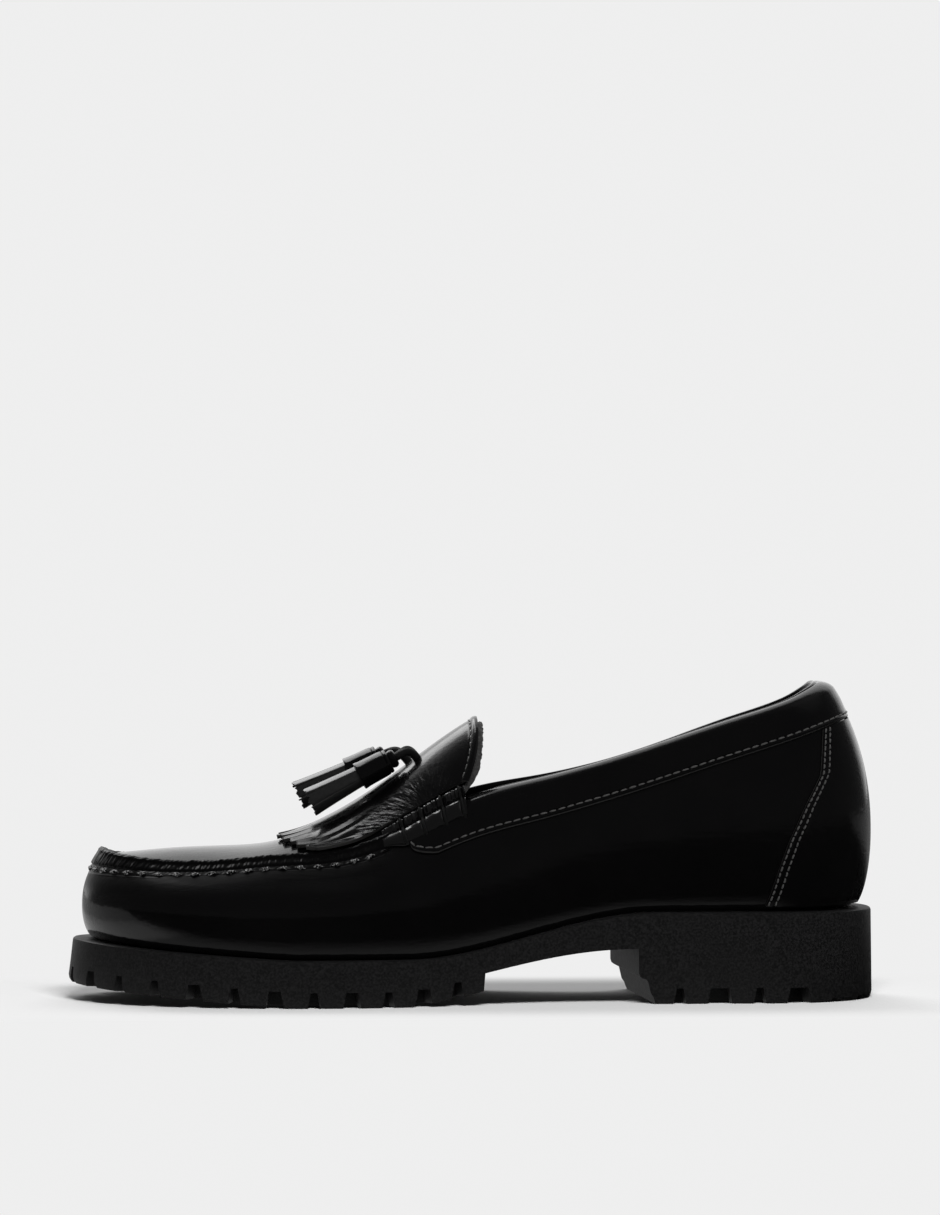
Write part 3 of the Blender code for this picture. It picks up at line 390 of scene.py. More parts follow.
class Last:
    """The wall of the shoe, section by section: from the feather line up to the seam or topline."""

    def __init__(self):
        rows = [(s, -s.lateral, s.lateral_in, s.lateral_top) for s in SECTIONS]
        rows += [(s, s.medial, s.medial_in, s.medial_top) for s in SECTIONS[-2:0:-1]]
        sections, across, inset, top = zip(*rows)
        x = [SOLE_LENGTH * (0.5 - s.along) for s in sections]
        y = [BALL_WIDTH * share for share in across]
        loop = np.array([x + x[:1], y + y[:1]])
        self.knots = np.append(0.0, np.cumsum(np.hypot(*np.diff(loop, axis=1))))
        self.total = self.knots[-1]
        self.columns = {"x": x, "y": y, "inset": inset, "top": [BACK_HEIGHT * share for share in top]}
        for name in ("ledge", "bulge", "rise"):
            self.columns[name] = [getattr(s, name) for s in sections]
        self.shift = 0.0
        edge = self.at(self.between(24, 24))["y"]
        self.shift = -(edge.min() + edge.max()) / 2
        rim = self.point(self.at(self.between(96, 96)), 1.0)
        middle = len(rim) // 2
        sides = (rim[middle:0:-1], rim[middle:])
        self.rims = tuple(side[side[:, 0] < SHANK_TO] for side in sides)

    def between(self, fine, coarse):
        """Parameters of even divisions of each span: fine from the vamp forward, coarse behind it."""
        count, parts = len(self.knots) - 1, []
        for k in range(count):
            forward = SEAM_SECTION <= k < count - SEAM_SECTION
            steps = fine if forward else coarse
            parts.append(np.linspace(self.knots[k], self.knots[k + 1], steps, endpoint=False))
        return np.concatenate(parts)

    def knot(self, name, side):
        """The parameter of a named section on the lateral or medial side."""
        index = [s.name for s in SECTIONS].index(name)
        return self.knots[index if side == "lateral" else len(self.knots) - 1 - index]

    def at(self, params):
        """Each column at these parameters, with the outward direction nx, ny in plan."""
        params = np.asarray(params, float)
        found = {k: spline(self.knots, v, params, True) for k, v in self.columns.items()}
        small = 0.5
        dx, dy = (
            spline(self.knots, self.columns[k], params + small, True)
            - spline(self.knots, self.columns[k], params - small, True)
            for k in ("x", "y")
        )
        size = np.hypot(dx, dy)
        found["nx"], found["ny"] = -dy / size, dx / size
        found["y"] = found["y"] + self.shift
        return found

    def profile(self, s, v):
        """How far out of the feather line, and how high, the wall is at v from 0 to 1."""
        feather_x = s["x"] - s["nx"] * s["ledge"]
        foot = sole_top(feather_x) + GAP
        turn = np.minimum(v / BULGE_AT, 1.0) * math.pi / 2
        up = np.maximum(v - BULGE_AT, 0.0) / (1.0 - BULGE_AT)
        out = s["bulge"] * np.sin(turn) - (s["bulge"] + s["inset"]) * up**SHOULDER_POWER
        shoulder = foot + s["rise"]
        height = foot + s["rise"] * (1.0 - np.cos(turn)) + (s["top"] - shoulder) * up
        return out, height

    def point(self, s, v, lift=0.0):
        """Points of the wall, moved out along its normal by lift."""
        out, height = self.profile(s, v)
        out_a, height_a = self.profile(s, np.maximum(v - 0.01, 0.0))
        out_b, height_b = self.profile(s, np.minimum(v + 0.01, 1.0))
        length = np.hypot(out_b - out_a, height_b - height_a)
        out = out + lift * (height_b - height_a) / length
        height = height - lift * (out_b - out_a) / length
        reach = out - s["ledge"]
        x, y = s["x"] + s["nx"] * reach, s["y"] + s["ny"] * reach
        return np.stack(np.broadcast_arrays(x, y, height), axis=-1)

    def share_below(self, s, depth):
        """The share v of the wall that lies depth below its top edge, measured down the wall."""
        shares = np.linspace(1.0, 0.0, 160)
        points = self.point(s, shares[:, None])
        run = np.cumsum(np.linalg.norm(np.diff(points, axis=0), axis=-1), axis=0)
        run = np.vstack([np.zeros(points.shape[1]), run])
        wanted = np.broadcast_to(depth, points.shape[1])
        return np.array([np.interp(d, run[:, k], shares) for k, d in enumerate(wanted)])

    def below_top(self, s, depth, lift=0.0):
        return self.point(s, self.share_below(s, depth), lift)

    def arch(self, x, w, lift=0.0):
        """Points of the vamp's arch at X = x. w runs from 0, lateral, to 1, medial."""
        x, w = np.broadcast_arrays(np.asarray(x, float), np.asarray(w, float))
        (yl, zl), (ym, zm) = (
            [np.interp(x, rim[:, 0], rim[:, i]) for i in (1, 2)] for rim in self.rims
        )
        rise = crest(x) - (zl + zm) / 2
        swell = 1.0 - abs(2.0 * w - 1.0) ** ARCH_POWER
        here = np.stack([x, yl + (ym - yl) * w, zl + (zm - zl) * w + rise * swell], axis=-1)
        if not np.any(lift):
            return here
        small = 0.4
        along = self.arch(x + small, w) - self.arch(x - small, w)
        across = self.arch(x, w + 0.01) - self.arch(x, w - 0.01)
        return here + np.asarray(lift)[..., None] * unit(np.cross(along, across))


class Shell:
    """Points and faces gathered into one mesh. mark is the number of a face's material."""

    def __init__(self):
        self.points, self.faces, self.marks, self.count = [], [], [], 0

    def add(self, points):
        """Adds points without faces, and gives their numbers in the same layout."""
        points = np.asarray(points, float)
        index = self.count + np.arange(points[..., 0].size).reshape(points.shape[:-1])
        self.points.append(points.reshape(-1, 3))
        self.count += index.size
        return index

    def extend(self, faces, mark=0):
        self.faces += faces
        self.marks += [mark] * len(faces)

    def quads(self, index, mark=0):
        """Quads between the rows and columns of a net of point numbers."""
        corners = (index[:-1, :-1], index[:-1, 1:], index[1:, 1:], index[1:, :-1])
        self.extend(np.stack([c.ravel() for c in corners], axis=-1).tolist(), mark)

    def grid(self, points, wrap=False, caps=False):
        """A net of quads over points[row, column]. wrap joins its last column to its first."""
        index = self.add(points)
        self.quads(np.hstack([index, index[:, :1]]) if wrap else index)
        if caps:
            self.extend([index[0].tolist(), index[-1].tolist()[::-1]])

    def tube(self, path, radius, up, sides, flat=1.0):
        """A closed tube along path. up gives its thickness direction, flat thins it that way."""
        ahead = unit(np.gradient(path, axis=0))
        side = unit(np.cross(ahead, np.broadcast_to(up, path.shape)))
        over = np.cross(side, ahead)
        radius = np.broadcast_to(radius, len(path))[:, None, None]
        angle = np.linspace(0.0, 2 * math.pi, sides, endpoint=False)[None, :, None]
        ring = np.cos(angle) * side[:, None] + flat * np.sin(angle) * over[:, None]
        self.grid(path[:, None] + radius * ring, wrap=True, caps=True)

    def plate(self, outer, inner, mark=0, edge=None):
        """A closed sheet between two nets of the same shape. edge is its border's own mark."""
        nets = self.add(outer), self.add(inner)
        self.quads(nets[0], mark)
        self.quads(nets[1][:, ::-1], mark)
        borders = [np.concatenate([n[0], n[1:, -1], n[-1, -2::-1], n[-2:0:-1, 0]]) for n in nets]
        border = np.stack(borders)
        self.quads(np.hstack([border, border[:, :1]]), mark if edge is None else edge)

    def object(self, name, materials, angle=50.0):
        mesh = bpy.data.meshes.new(name)
        mesh.from_pydata((np.concatenate(self.points) * MM).tolist(), [], self.faces)
        mesh.polygons.foreach_set("material_index", self.marks)
        for material in materials:
            mesh.materials.append(material)
        bm = bmesh.new()
        bm.from_mesh(mesh)
        bmesh.ops.recalc_face_normals(bm, faces=bm.faces)
        bm.to_mesh(mesh)
        bm.free()
        mesh.shade_smooth()
        mesh.set_sharp_from_angle(angle=math.radians(angle))
        obj = bpy.data.objects.new(name, mesh)
        bpy.context.scene.collection.objects.link(obj)
        return obj


def dressed(obj, slot, *nodes):
    """Puts a piece on the shoe: it rides on the one body and stands for these nodes."""
    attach(obj, "root")
    if nodes:
        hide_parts(*nodes)


def stitches(shell, path, normals, pitch):
    """A row of short threads along a path, each rising out of the leather and back into it, unevenly."""
    run = run_along(path)
    count = max(int(run[-1] / pitch), 1)
    places = (np.arange(count) + 0.5) * run[-1] / count
    t = np.linspace(-0.5, 0.5, 7)
    bow = np.array([-1.0, 0.15, 0.55, 0.68, 0.55, 0.15, -1.0]) * THREAD
    girth = np.array([0.55, 0.92, 1.0, 1.0, 1.0, 0.92, 0.55]) * THREAD
    for number, place in enumerate(places):
        uneven = math.sin(2.4 * number) + math.sin(0.7 * number)
        spot = at_run(place + t * pitch * STITCH_SHARE * (1.0 + 0.06 * uneven), run, path)
        up = unit(at_run(place, run, normals))
        across = unit(np.cross(up, spot[-1] - spot[0]))
        tilt = 0.12 * math.sin(5.1 * number)
        spot = spot + up * (bow - 0.05 * uneven * THREAD)[:, None] + across * (t * tilt)[:, None]
        shell.tube(spot, girth * (1.0 + 0.06 * math.sin(3.7 * number)), up, sides=6)


def sew(name, slot, rows):
    """One piece of stitches. Each row: its path, the leather's normals along it, and its pitch."""
    shell = Shell()
    for path, normals, pitch in rows:
        stitches(shell, path, normals, pitch)
    dressed(shell.object(name, [WAXED]), slot)


def node_tree(name):
    """A new material, its node tree and its shader."""
    material = bpy.data.materials.new(name)
    material.use_nodes = True
    tree = material.node_tree
    return material, tree, tree.nodes["Principled BSDF"]


def wire(tree, target, inputs):
    """Fills a node's inputs: the output of another node is linked, any other value is set."""
    for name, value in inputs.items():
        if isinstance(value, bpy.types.NodeSocket):
            tree.links.new(value, target.inputs[name])
        else:
            target.inputs[name].default_value = value


def node(tree, kind, inputs=None, **settings):
    """Makes a shader node of this kind, and gives its outputs."""
    made = tree.nodes.new("ShaderNode" + kind)
    for name, value in settings.items():
        setattr(made, name, value)
    wire(tree, made, inputs or {})
    return made.outputs


def mapped_noise(tree, source, scale, detail, stretch, turn=0.0):
    """A noise texture over a vector that is stretched and then turned about Y."""
    turned = (0.0, math.radians(turn), 0.0)
    place = node(tree, "Mapping", {"Vector": source, "Rotation": turned, "Scale": stretch})["Vector"]
    return node(tree, "TexNoise", {"Vector": place, "Scale": scale, "Detail": detail})["Fac"]


def noise(tree, scale, detail, stretch=(1.0, 1.0, 1.0), turn=0.0):
    """Noise in the object's own coordinates. scale is in features a metre."""
    return mapped_noise(tree, node(tree, "TexCoord")["Object"], scale, detail, stretch, turn)


def pores(tree, scale):
    """Leather pores: cells a little apart, in the object's own coordinates."""
    place = node(tree, "TexCoord")["Object"]
    return node(tree, "TexVoronoi", {"Vector": place, "Scale": scale}, feature="SMOOTH_F1")["Distance"]


def folds(tree):
    """Fine folds that run along the mesh's crease vector, as strong as its third value."""
    crease = node(tree, "Attribute", attribute_name="crease")["Vector"]
    strength = node(tree, "SeparateXYZ", {"Vector": crease})["Z"]
    return product(tree, mapped_noise(tree, crease, 1.0, 3.0, (1.0, 0.12, 0.0)), strength)


def fading(tree, value, start, end, most=1.0):
    """0 at start and most at end, smooth between them."""
    inputs = {"Value": value, "From Min": start, "From Max": end, "To Max": most}
    return node(tree, "MapRange", inputs, interpolation_type="SMOOTHSTEP")["Result"]


def spread(tree, value, low, high):
    """Maps a 0 to 1 value onto a range."""
    return node(tree, "MapRange", {"Value": value, "To Min": low, "To Max": high})["Result"]


def tint(tree, value, dark, light):
    """Maps a 0 to 1 value onto two colours."""
    inputs = {"Factor": value, "A": (*dark, 1.0), "B": (*light, 1.0)}
    return node(tree, "Mix", inputs, data_type="RGBA")["Result"]


def product(tree, first, second):
    return node(tree, "Math", {0: first, 1: second}, operation="MULTIPLY")["Value"]


def larger(tree, first, second):
    return node(tree, "Math", {0: first, 1: second}, operation="MAXIMUM")["Value"]


def mixed(tree, share, first, second):
    """Two shaders, the second by this share."""
    return node(tree, "MixShader", {"Fac": share, 1: first, 2: second})["Shader"]


def bumps(tree, *layers):
    """The normal from chained bump layers of (height, strength, distance in millimetres)."""
    normal = None
    for height, strength, distance in layers:
        inputs = {"Height": height, "Strength": strength, "Distance": distance * MM}
        if normal:
            inputs["Normal"] = normal
        normal = node(tree, "Bump", inputs)["Normal"]
    return normal


def lit_within(tree, place, limits):
    """Light where every limit lets it through."""
    light = None
    for limit in limits:
        reach = node(tree, "VectorMath", {0: place, 1: limit.direction}, operation="DOT_PRODUCT")["Value"]
        part = fading(tree, reach, limit.start, limit.end, limit.most)
        light = product(tree, light, part) if light else part
    return light


def polished_leather(name, gloss=0.08, index=1.48):
    """High-shine black leather: a near-black hide under clear polish, with pores and brushed streaks.

    Where the mesh says that it is dull, it loses polish, and where it carries creases, it has fine folds.
    """
    material, tree, shader = node_tree(name)
    unevenness = (noise(tree, 60.0, 2.0), 0.12, 0.6)
    streaks = (noise(tree, 620.0, 3.0, (0.14, 1.0, 1.0), 35.0), 0.62, 0.09)
    normal = bumps(tree, unevenness, streaks, (pores(tree, 1500.0), 0.12, 0.05), (folds(tree), 1.0, 0.75))
    dull = node(tree, "Attribute", attribute_name="dull")["Fac"]
    wire(tree, shader, {
        "Base Color": tint(tree, noise(tree, 55.0, 3.0), (0.0008, 0.0008, 0.0009), (0.0019, 0.0018, 0.0019)),
        "Roughness": spread(tree, noise(tree, 240.0, 4.0), 0.26, 0.42),
        "Specular IOR Level": 0.08,
        "Coat Weight": fading(tree, dull, 1.15, 0.0),
        "Coat Roughness": gloss,
        "Coat IOR": index,
        "Normal": normal,
        "Coat Normal": normal,
    })
    return material


def waxed_cord(name):
    """Thin leather cord: black, dull and fibrous."""
    material, tree, shader = node_tree(name)
    fibres = noise(tree, 1600.0, 3.0)
    wire(tree, shader, {
        "Base Color": tint(tree, fibres, (0.002, 0.002, 0.002), (0.008, 0.008, 0.008)),
        "Roughness": spread(tree, fibres, 0.42, 0.62),
        "Specular IOR Level": 0.3,
        "Normal": bumps(tree, (fibres, 0.5, 0.16)),
    })
    return material


def puckered_leather(name):
    """Leather drawn up by a stitch: painted highlights as pale flecks on its tiny folds, dark between."""
    material, tree, shader = node_tree(name)
    painted_glint_flecks = fading(tree, noise(tree, 1900.0, 2.0), 0.50, 0.64)
    normal = bumps(tree, (painted_glint_flecks, 0.6, 0.12))
    wire(tree, shader, {
        # Painted highlight: the pale flecks in the base colour stand in for glints on the folds.
        "Base Color": tint(tree, painted_glint_flecks, (0.002, 0.002, 0.002), (0.25, 0.25, 0.25)),
        "Roughness": spread(tree, painted_glint_flecks, 0.22, 0.34),
        "Coat Weight": 1.0,
        "Coat Roughness": 0.08,
        "Normal": normal,
        "Coat Normal": normal,
    })
    return material


def dull_leather(name):
    """Thin strips of the same hide, half polished: black, a little grey where light falls on them."""
    material, tree, shader = node_tree(name)
    grain = noise(tree, 900.0, 4.0)
    normal = bumps(tree, (grain, 0.25, 0.08))
    wire(tree, shader, {
        "Base Color": tint(tree, grain, (0.004, 0.004, 0.004), (0.016, 0.016, 0.016)),
        "Roughness": spread(tree, grain, 0.30, 0.46),
        "Coat Weight": 1.0,
        "Coat Roughness": 0.12,
        "Normal": normal,
        "Coat Normal": normal,
    })
    return material


def raw_edge(name):
    """Cut edge of the hide: dyed black, fibrous and dull."""
    material, tree, shader = node_tree(name)
    fibres = noise(tree, 1800.0, 4.0)
    wire(tree, shader, {
        "Base Color": tint(tree, fibres, (0.006, 0.006, 0.006), (0.030, 0.029, 0.028)),
        "Roughness": spread(tree, fibres, 0.40, 0.70),
        "Normal": bumps(tree, (fibres, 0.6, 0.25)),
    })
    return material


def suede(name):
    """Flesh side of the hide: grey-black, dull and napped."""
    material, tree, shader = node_tree(name)
    nap = noise(tree, 900.0, 5.0)
    wire(tree, shader, {
        "Base Color": tint(tree, nap, (0.002, 0.002, 0.002), (0.055, 0.054, 0.053)),
        "Roughness": spread(tree, nap, 0.55, 0.9),
        "Sheen Weight": 0.15,
        "Sheen Roughness": 0.5,
        "Normal": bumps(tree, (nap, 0.9, 0.5)),
    })
    return material


def lining_leather(name):
    """Inside of the shoe: matt black lining leather with an open grain."""
    material, tree, shader = node_tree(name)
    wire(tree, shader, {
        "Base Color": tint(tree, noise(tree, 45.0, 4.0), (0.006, 0.006, 0.006), (0.013, 0.0125, 0.012)),
        "Roughness": spread(tree, noise(tree, 300.0, 3.0), 0.42, 0.6),
        "Specular IOR Level": 0.35,
        "Normal": bumps(tree, (noise(tree, 130.0, 3.0), 0.2, 0.5), (pores(tree, 900.0), 0.45, 0.12)),
    })
    return material


def moulded_rubber(name):
    """Sole rubber: charcoal black with a fine moulded stipple and a dusty bloom in patches."""
    material, tree, shader = node_tree(name)
    bloom = fading(tree, noise(tree, 1300.0, 5.0), 0.34, 0.68)
    normal = bumps(tree, (noise(tree, 160.0, 2.0), 0.15, 0.5), (noise(tree, 1500.0, 3.0), 0.6, 0.18))
    wire(tree, shader, {
        "Base Color": tint(tree, bloom, (0.0040, 0.0040, 0.0041), (0.0118, 0.0116, 0.0119)),
        "Roughness": spread(tree, noise(tree, 420.0, 4.0), 0.50, 0.70),
        "Specular IOR Level": 0.2,
        "Coat Weight": 0.25,
        "Coat Roughness": 0.42,
        "Normal": normal,
        "Coat Normal": normal,
    })
    return material


def waxed_thread(name):
    """Waxed sewing thread, dark and glossy, with a fine uneven twist."""
    material, tree, shader = node_tree(name)
    twist = noise(tree, 3500.0, 2.0, (1.0, 1.0, 0.5))
    normal = bumps(tree, (twist, 0.5, 0.12))
    wire(tree, shader, {
        "Base Color": tint(tree, twist, (0.012, 0.012, 0.012), (0.110, 0.108, 0.106)),
        "Roughness": spread(tree, twist, 0.22, 0.40),
        "Coat Weight": 0.7,
        "Coat Roughness": 0.18,
        "Normal": normal,
        "Coat Normal": normal,
    })
    return material


def seam_run(last, params):
    """Distance along the wall's top edge from the toe's tip."""
    run = run_along(last.point(last.at(params), 1.0))
    return run - np.interp(last.knot("toe_tip", "lateral"), params, run)


def make_upper(last):
    """Vamp, apron and quarters as one wall of leather, with slight unevenness from lasting."""
    params = last.between(24, 14)
    s, count = last.at(params), len(params)
    low, high = np.linspace(0.0, 0.62, 22, endpoint=False), np.linspace(0.62, 1.0, 24)
    v = np.concatenate([low, high])[:, None]
    plain = last.point(s, v)
    uneven = LASTING_WAVE * np.sin(params / 19.0) * np.sin(plain[..., 2] / 7.0 + params / 40.0)
    wall = last.point(s, v, uneven * np.sin(math.pi * v))
    shell = Shell()
    shell.grid(wall, wrap=True)
    rows, half = len(v), count // 2
    first = int(np.argmin(abs(params - last.knot("vamp", "lateral"))))
    order = np.arange(first, half)
    left, right = plain[-1, order], plain[-1, count - order]
    columns = 44
    w = np.linspace(0.0, 1.0, columns + 1)[None, 1:-1]
    x = left[:, :1] * (1 - w) + right[:, :1] * w
    index = shell.add(last.arch(x, w))
    top = (rows - 1) * count
    index = np.hstack([top + order[:, None], index, top + (count - order)[:, None]])
    shell.quads(index)
    tip = [[int(a), int(b), top + half] for a, b in zip(index[-1, :-1], index[-1, 1:])]
    shell.extend(tip)
    obj = shell.object("upper_leather", [LEATHER, LINING, EDGE])
    steps = np.linalg.norm(np.diff(wall[::-1], axis=0), axis=-1)
    depth = np.vstack([np.zeros((1, count)), np.cumsum(steps, axis=0)])[::-1]
    low_down, behind = ramp(depth, *UPPER_DULL_DEPTH), ramp(plain[-1, :, 0], *UPPER_DULL_AT)
    mark_dull(obj, (1.0 - low_down) * (1.0 - behind))
    face_away(obj, INSIDE_UPPER)
    thickness(obj, WALL, inwards=True)
    dressed(obj, "leather", "upper")


def face_away(obj, inside):
    """Turns the faces of an open sheet away from a point behind it."""
    centre = Vector(inside)
    total = sum(p.normal.dot(p.center - centre) * p.area for p in obj.data.polygons)
    if total < 0:
        obj.data.flip_normals()


def thickness(obj, amount, inwards):
    """Gives a sheet its thickness: material 1 behind an inwards one, material 2 on the cut edge."""
    solid = obj.modifiers.new("Thickness", "SOLIDIFY")
    solid.thickness = amount * MM
    solid.offset = -1.0 if inwards else 1.0
    solid.material_offset = 1 if inwards else 0
    solid.material_offset_rim = 2


def band_columns(last):
    """Parameters of the collar band's columns, with its upper and lower edge below the topline."""
    start = last.knot("vamp", "medial") + BAND_FROM_VAMP
    end = last.total + last.knot("vamp", "lateral") - BAND_FROM_VAMP
    corner = np.array([0.0, 0.4, 1.0, 1.8, 2.8, 4.0, 5.4, 6.8])
    middle = np.linspace(start + 8.0, end - 8.0, 300)
    params = np.concatenate([start + corner, middle, end - corner[::-1]])
    s = last.at(params)
    run = run_along(np.stack([s["x"], s["y"]], axis=-1))
    from_end = np.minimum(run, run[-1] - run)
    step = BAND_STEP - 2.0
    below_roll, widened, cut_corner, corner_run = ROLL_REACH + 1.2, 1.3, 7.5, 9.0
    upper = 0.2 + below_roll * (1.0 - ramp(from_end, step, step + 1.2))
    lower = BAND_WIDTH + widened * (1.0 - ramp(from_end, 18.0, 68.0))
    lower = lower - cut_corner * (1.0 - np.clip(from_end / corner_run, 0.0, 1.0) ** 0.5)
    return s, from_end, upper, lower


def band_face(last, s, upper, lower, pad):
    """The band's outer face from its lower edge up, skived at the edge and dented along its stitches."""
    above = np.array([0.0, 0.12, 0.35, 0.75, 1.2, 1.6, 1.9, 2.2, 2.6, 3.2, 4.2])
    shares = np.linspace(0.0, 1.0, 10)[1:]
    rows = []
    for a in above:
        skive = min(1.0, 0.35 + 0.65 * (a / 0.75) ** 0.5)
        dent = BAND_DENT * float(bell(a - BAND_ROW, DENT_WIDTH))
        rows.append(last.below_top(s, lower - a, GAP + BAND_THICKNESS * skive - dent))
    for t in shares:
        depth = lower - above[-1] + (upper - lower + above[-1]) * t
        swell = pad * math.sin(math.pi * t)
        rows.append(last.below_top(s, depth, GAP + BAND_THICKNESS + swell))
    return rows


def edged_grid(shell, rings):
    """A closed strip of rings whose first rows are its cut edge."""
    index = shell.add(rings)
    shell.quads(index[:, :3], 1)
    shell.quads(np.hstack([index[:, 2:], index[:, :1]]))
    shell.extend([index[0].tolist(), index[-1].tolist()[::-1]])


def plan_normals(s):
    """The level directions out of the shoe."""
    return np.stack([s["nx"], s["ny"], np.zeros(len(s["nx"]))], axis=-1)


def collar_roll(last, here, face):
    """The band's roll: on from its face to an apex above the topline, with a bead inside it."""
    plan = plan_normals(here)
    apex = last.point(here, 1.0) - plan * COLLAR_APEX_IN + UP * COLLAR_APEX_UP
    leave = face[-1] + unit(face[-1] - face[-2]) * COLLAR_PULL_OUT
    arrive = apex + plan * COLLAR_PULL_IN
    roll = [bent(face[-1], leave, arrive, apex, t) for t in np.linspace(0.0, 1.0, 12)[1:]]
    return roll + [apex - plan * inward + UP * height for inward, height in COLLAR_BEAD]


def make_collar_band(last):
    """The band round the topline: rolled over a soft edge, faced inside, and stitched outside and inside."""
    s, from_end, upper, lower = band_columns(last)
    shell = Shell()
    first, final = np.flatnonzero(from_end >= BAND_STEP - 0.8)[[0, -1]]

    def part(index):
        return {k: column[index] for k, column in s.items()}, upper[index], lower[index]

    for index in (np.arange(0, first + 1), np.arange(final, len(from_end))):
        here, up, low = part(index)
        face = band_face(last, here, up, low, 0.0)
        back = [last.below_top(here, low + (up - low) * t, SEATED) for t in (1.0, 0.5, 0.0)]
        edged_grid(shell, np.stack(face + back, axis=1))
    here, up, low = part(np.arange(first, final + 1))
    face = band_face(last, here, up + COLLAR_ROLL_FROM, low, BAND_PAD)
    face += collar_roll(last, here, face)
    face += [last.below_top(here, depth, -inward) for depth, inward in COLLAR_FACING]
    face += [last.below_top(here, depth, SEATED) for depth in (0.3, 6.0, low)]
    edged_grid(shell, np.stack(face, axis=1))
    dressed(shell.object("collar_band_leather", [LEATHER, EDGE]), "leather", "collar_band")
    threads = []
    outside = (s, lower - BAND_ROW, GAP + BAND_THICKNESS - 0.2, GAP + BAND_THICKNESS + 1.0)
    for columns, depth, sunk, above in (outside, (here, FACING_ROW, -2.75, -4.0)):
        path = last.below_top(columns, depth, sunk)
        threads.append((path, unit(last.below_top(columns, depth, above) - path), BAND_STITCH))
    sew("collar_band_stitches", "leather", threads)


def counter_front(height):
    """X of the heel counter's front edge."""
    at, heights = zip(*COUNTER_FRONT)
    return np.interp(height, heights, at)


def make_heel_counter(last):
    """The counter over the back of the heel, with two rows of stitches along each front edge."""
    reach = last.knot("heel_seat", "lateral") + COUNTER_PAST_SEAT
    dense = np.linspace(-reach, reach, 700)
    s = last.at(dense)
    high, low = last.share_below(s, BAND_WIDTH + GAP), COUNTER_FOOT
    edge = np.array([0.0, 0.002, 0.005, 0.009, 0.014, 0.020])
    share = np.concatenate([edge, np.linspace(0.028, 0.972, 90), 1.0 - edge[::-1]])
    outer, inner, rows = [], [], []
    for t in np.linspace(0.0, 1.0, 40):
        v = high + (low - high) * t
        points = last.point(s, v, GAP)
        ahead = points[:, 0] - counter_front(points[:, 2])
        inside = np.flatnonzero(ahead > 0)
        ends = []
        for a, b in ((inside[0] - 1, inside[0]), (inside[-1], inside[-1] + 1)):
            ends.append(dense[a] + (dense[b] - dense[a]) * ahead[a] / (ahead[a] - ahead[b]))
        p = ends[0] + (ends[1] - ends[0]) * share
        here = last.at(p)
        level = np.interp(p, dense, v)
        from_edge = np.minimum(share, 1.0 - share) * (ends[1] - ends[0])
        dent = sum(COUNTER_DENT * bell(from_edge - inset, DENT_WIDTH) for inset in COUNTER_ROWS)
        skive = np.clip(0.4 + 0.6 * (from_edge / 0.5) ** 0.5, 0.0, 1.0)
        outer.append(last.point(here, level, GAP + COUNTER_THICKNESS * skive - dent))
        inner.append(last.point(here, level, SEATED))
        rows.append((ends, v))
    shell = Shell()
    shell.plate(np.array(outer), np.array(inner), edge=1)
    dressed(shell.object("heel_counter_leather", [LEATHER, EDGE]), "leather", "heel_counter")
    threads = []
    for end, sign in ((0, 1.0), (1, -1.0)):
        for inset in COUNTER_ROWS:
            p = np.array([ends[end] + sign * inset for ends, _ in rows])
            level = np.array([np.interp(q, dense, v) for q, (_, v) in zip(p, rows)])
            here = last.at(p)
            path = last.point(here, level, GAP + COUNTER_THICKNESS - 0.15)
            threads.append((path, unit(last.point(here, level, 4.0) - path), COUNTER_STITCH))
    sew("heel_counter_stitches", "leather", threads)


def smooth_rings(rings, count):
    """Closed rings of corners, resampled as smooth curves through them."""
    corners = rings.shape[1]
    wanted = np.linspace(0.0, corners, count, endpoint=False)
    knots = np.arange(corners + 1)
    flat = np.moveaxis(rings, 1, 0).reshape(corners, -1)
    found = np.stack([spline(knots, flat[:, k], wanted, True) for k in range(flat.shape[1])], axis=-1)
    return np.moveaxis(found.reshape(count, *rings.shape[:1], 3), 0, 1)


def seam_corners(last, params, along):
    """Corners of the seam's sections: a thin skirt on the wall, the ridge, and a back hidden in the wall."""
    s = last.at(params)
    rim = last.point(s, 1.0)
    plan = plan_normals(s)
    here, inner = last.arch(rim[:, 0], 0.0), last.arch(rim[:, 0], 0.06)
    slope = (inner[:, 2] - here[:, 2]) / np.maximum(inner[:, 1] - here[:, 1], 0.5)
    slope = np.clip(slope, 0.35, 1.2)[:, None]
    tip = bell(along, 14.0)[:, None]
    low = ramp(along, 2.0, 14.0) * (1.0 - ramp(rim[:, 0], -112.0, -90.0))
    ends = np.minimum(along - along[0], along[-1] - along)
    tall = ((SEAM_HEIGHT - 0.5 - 1.1 * low) * (0.3 + 0.7 * ramp(ends, 0.0, 9.0)))[:, None]
    sunk = 0.5 * (1.0 - ramp(ends, 1.0, 9.0))
    ridge = rim - plan * 1.0 * tip + UP * 0.5 * tip
    corners = [last.below_top(s, depth, lift - sunk) for depth, lift in SEAM_SKIRT]
    corners += [ridge + plan * out + UP * share * tall for out, share in SEAM_FRONT]
    corners.append(ridge - plan * 0.3 + UP * tall)
    corners.append(ridge - plan * 0.95 + UP * (0.85 * tall + 0.2 * slope))
    corners.append(ridge - plan * 1.35 + UP * (0.5 * tall + 0.8 * slope))
    corners.append(ridge - plan * 1.45 + UP * (1.3 * slope - 0.2))
    corners.append(rim - plan * 0.5 - UP * 0.6)
    corners += [last.below_top(s, depth, -1.0) for depth in (4.0, 8.0)]
    return np.stack(corners, axis=1)


def outward(rings):
    """Unit normals of a net of rings, pointing out of them."""
    ahead = np.gradient(rings, axis=0)
    turned = np.roll(rings, -1, axis=1) - np.roll(rings, 1, axis=1)
    normal = unit(np.cross(ahead, turned))
    sign = np.sign(((rings - rings.mean(axis=1, keepdims=True)) * normal).sum(axis=-1, keepdims=True))
    return normal * np.median(sign)


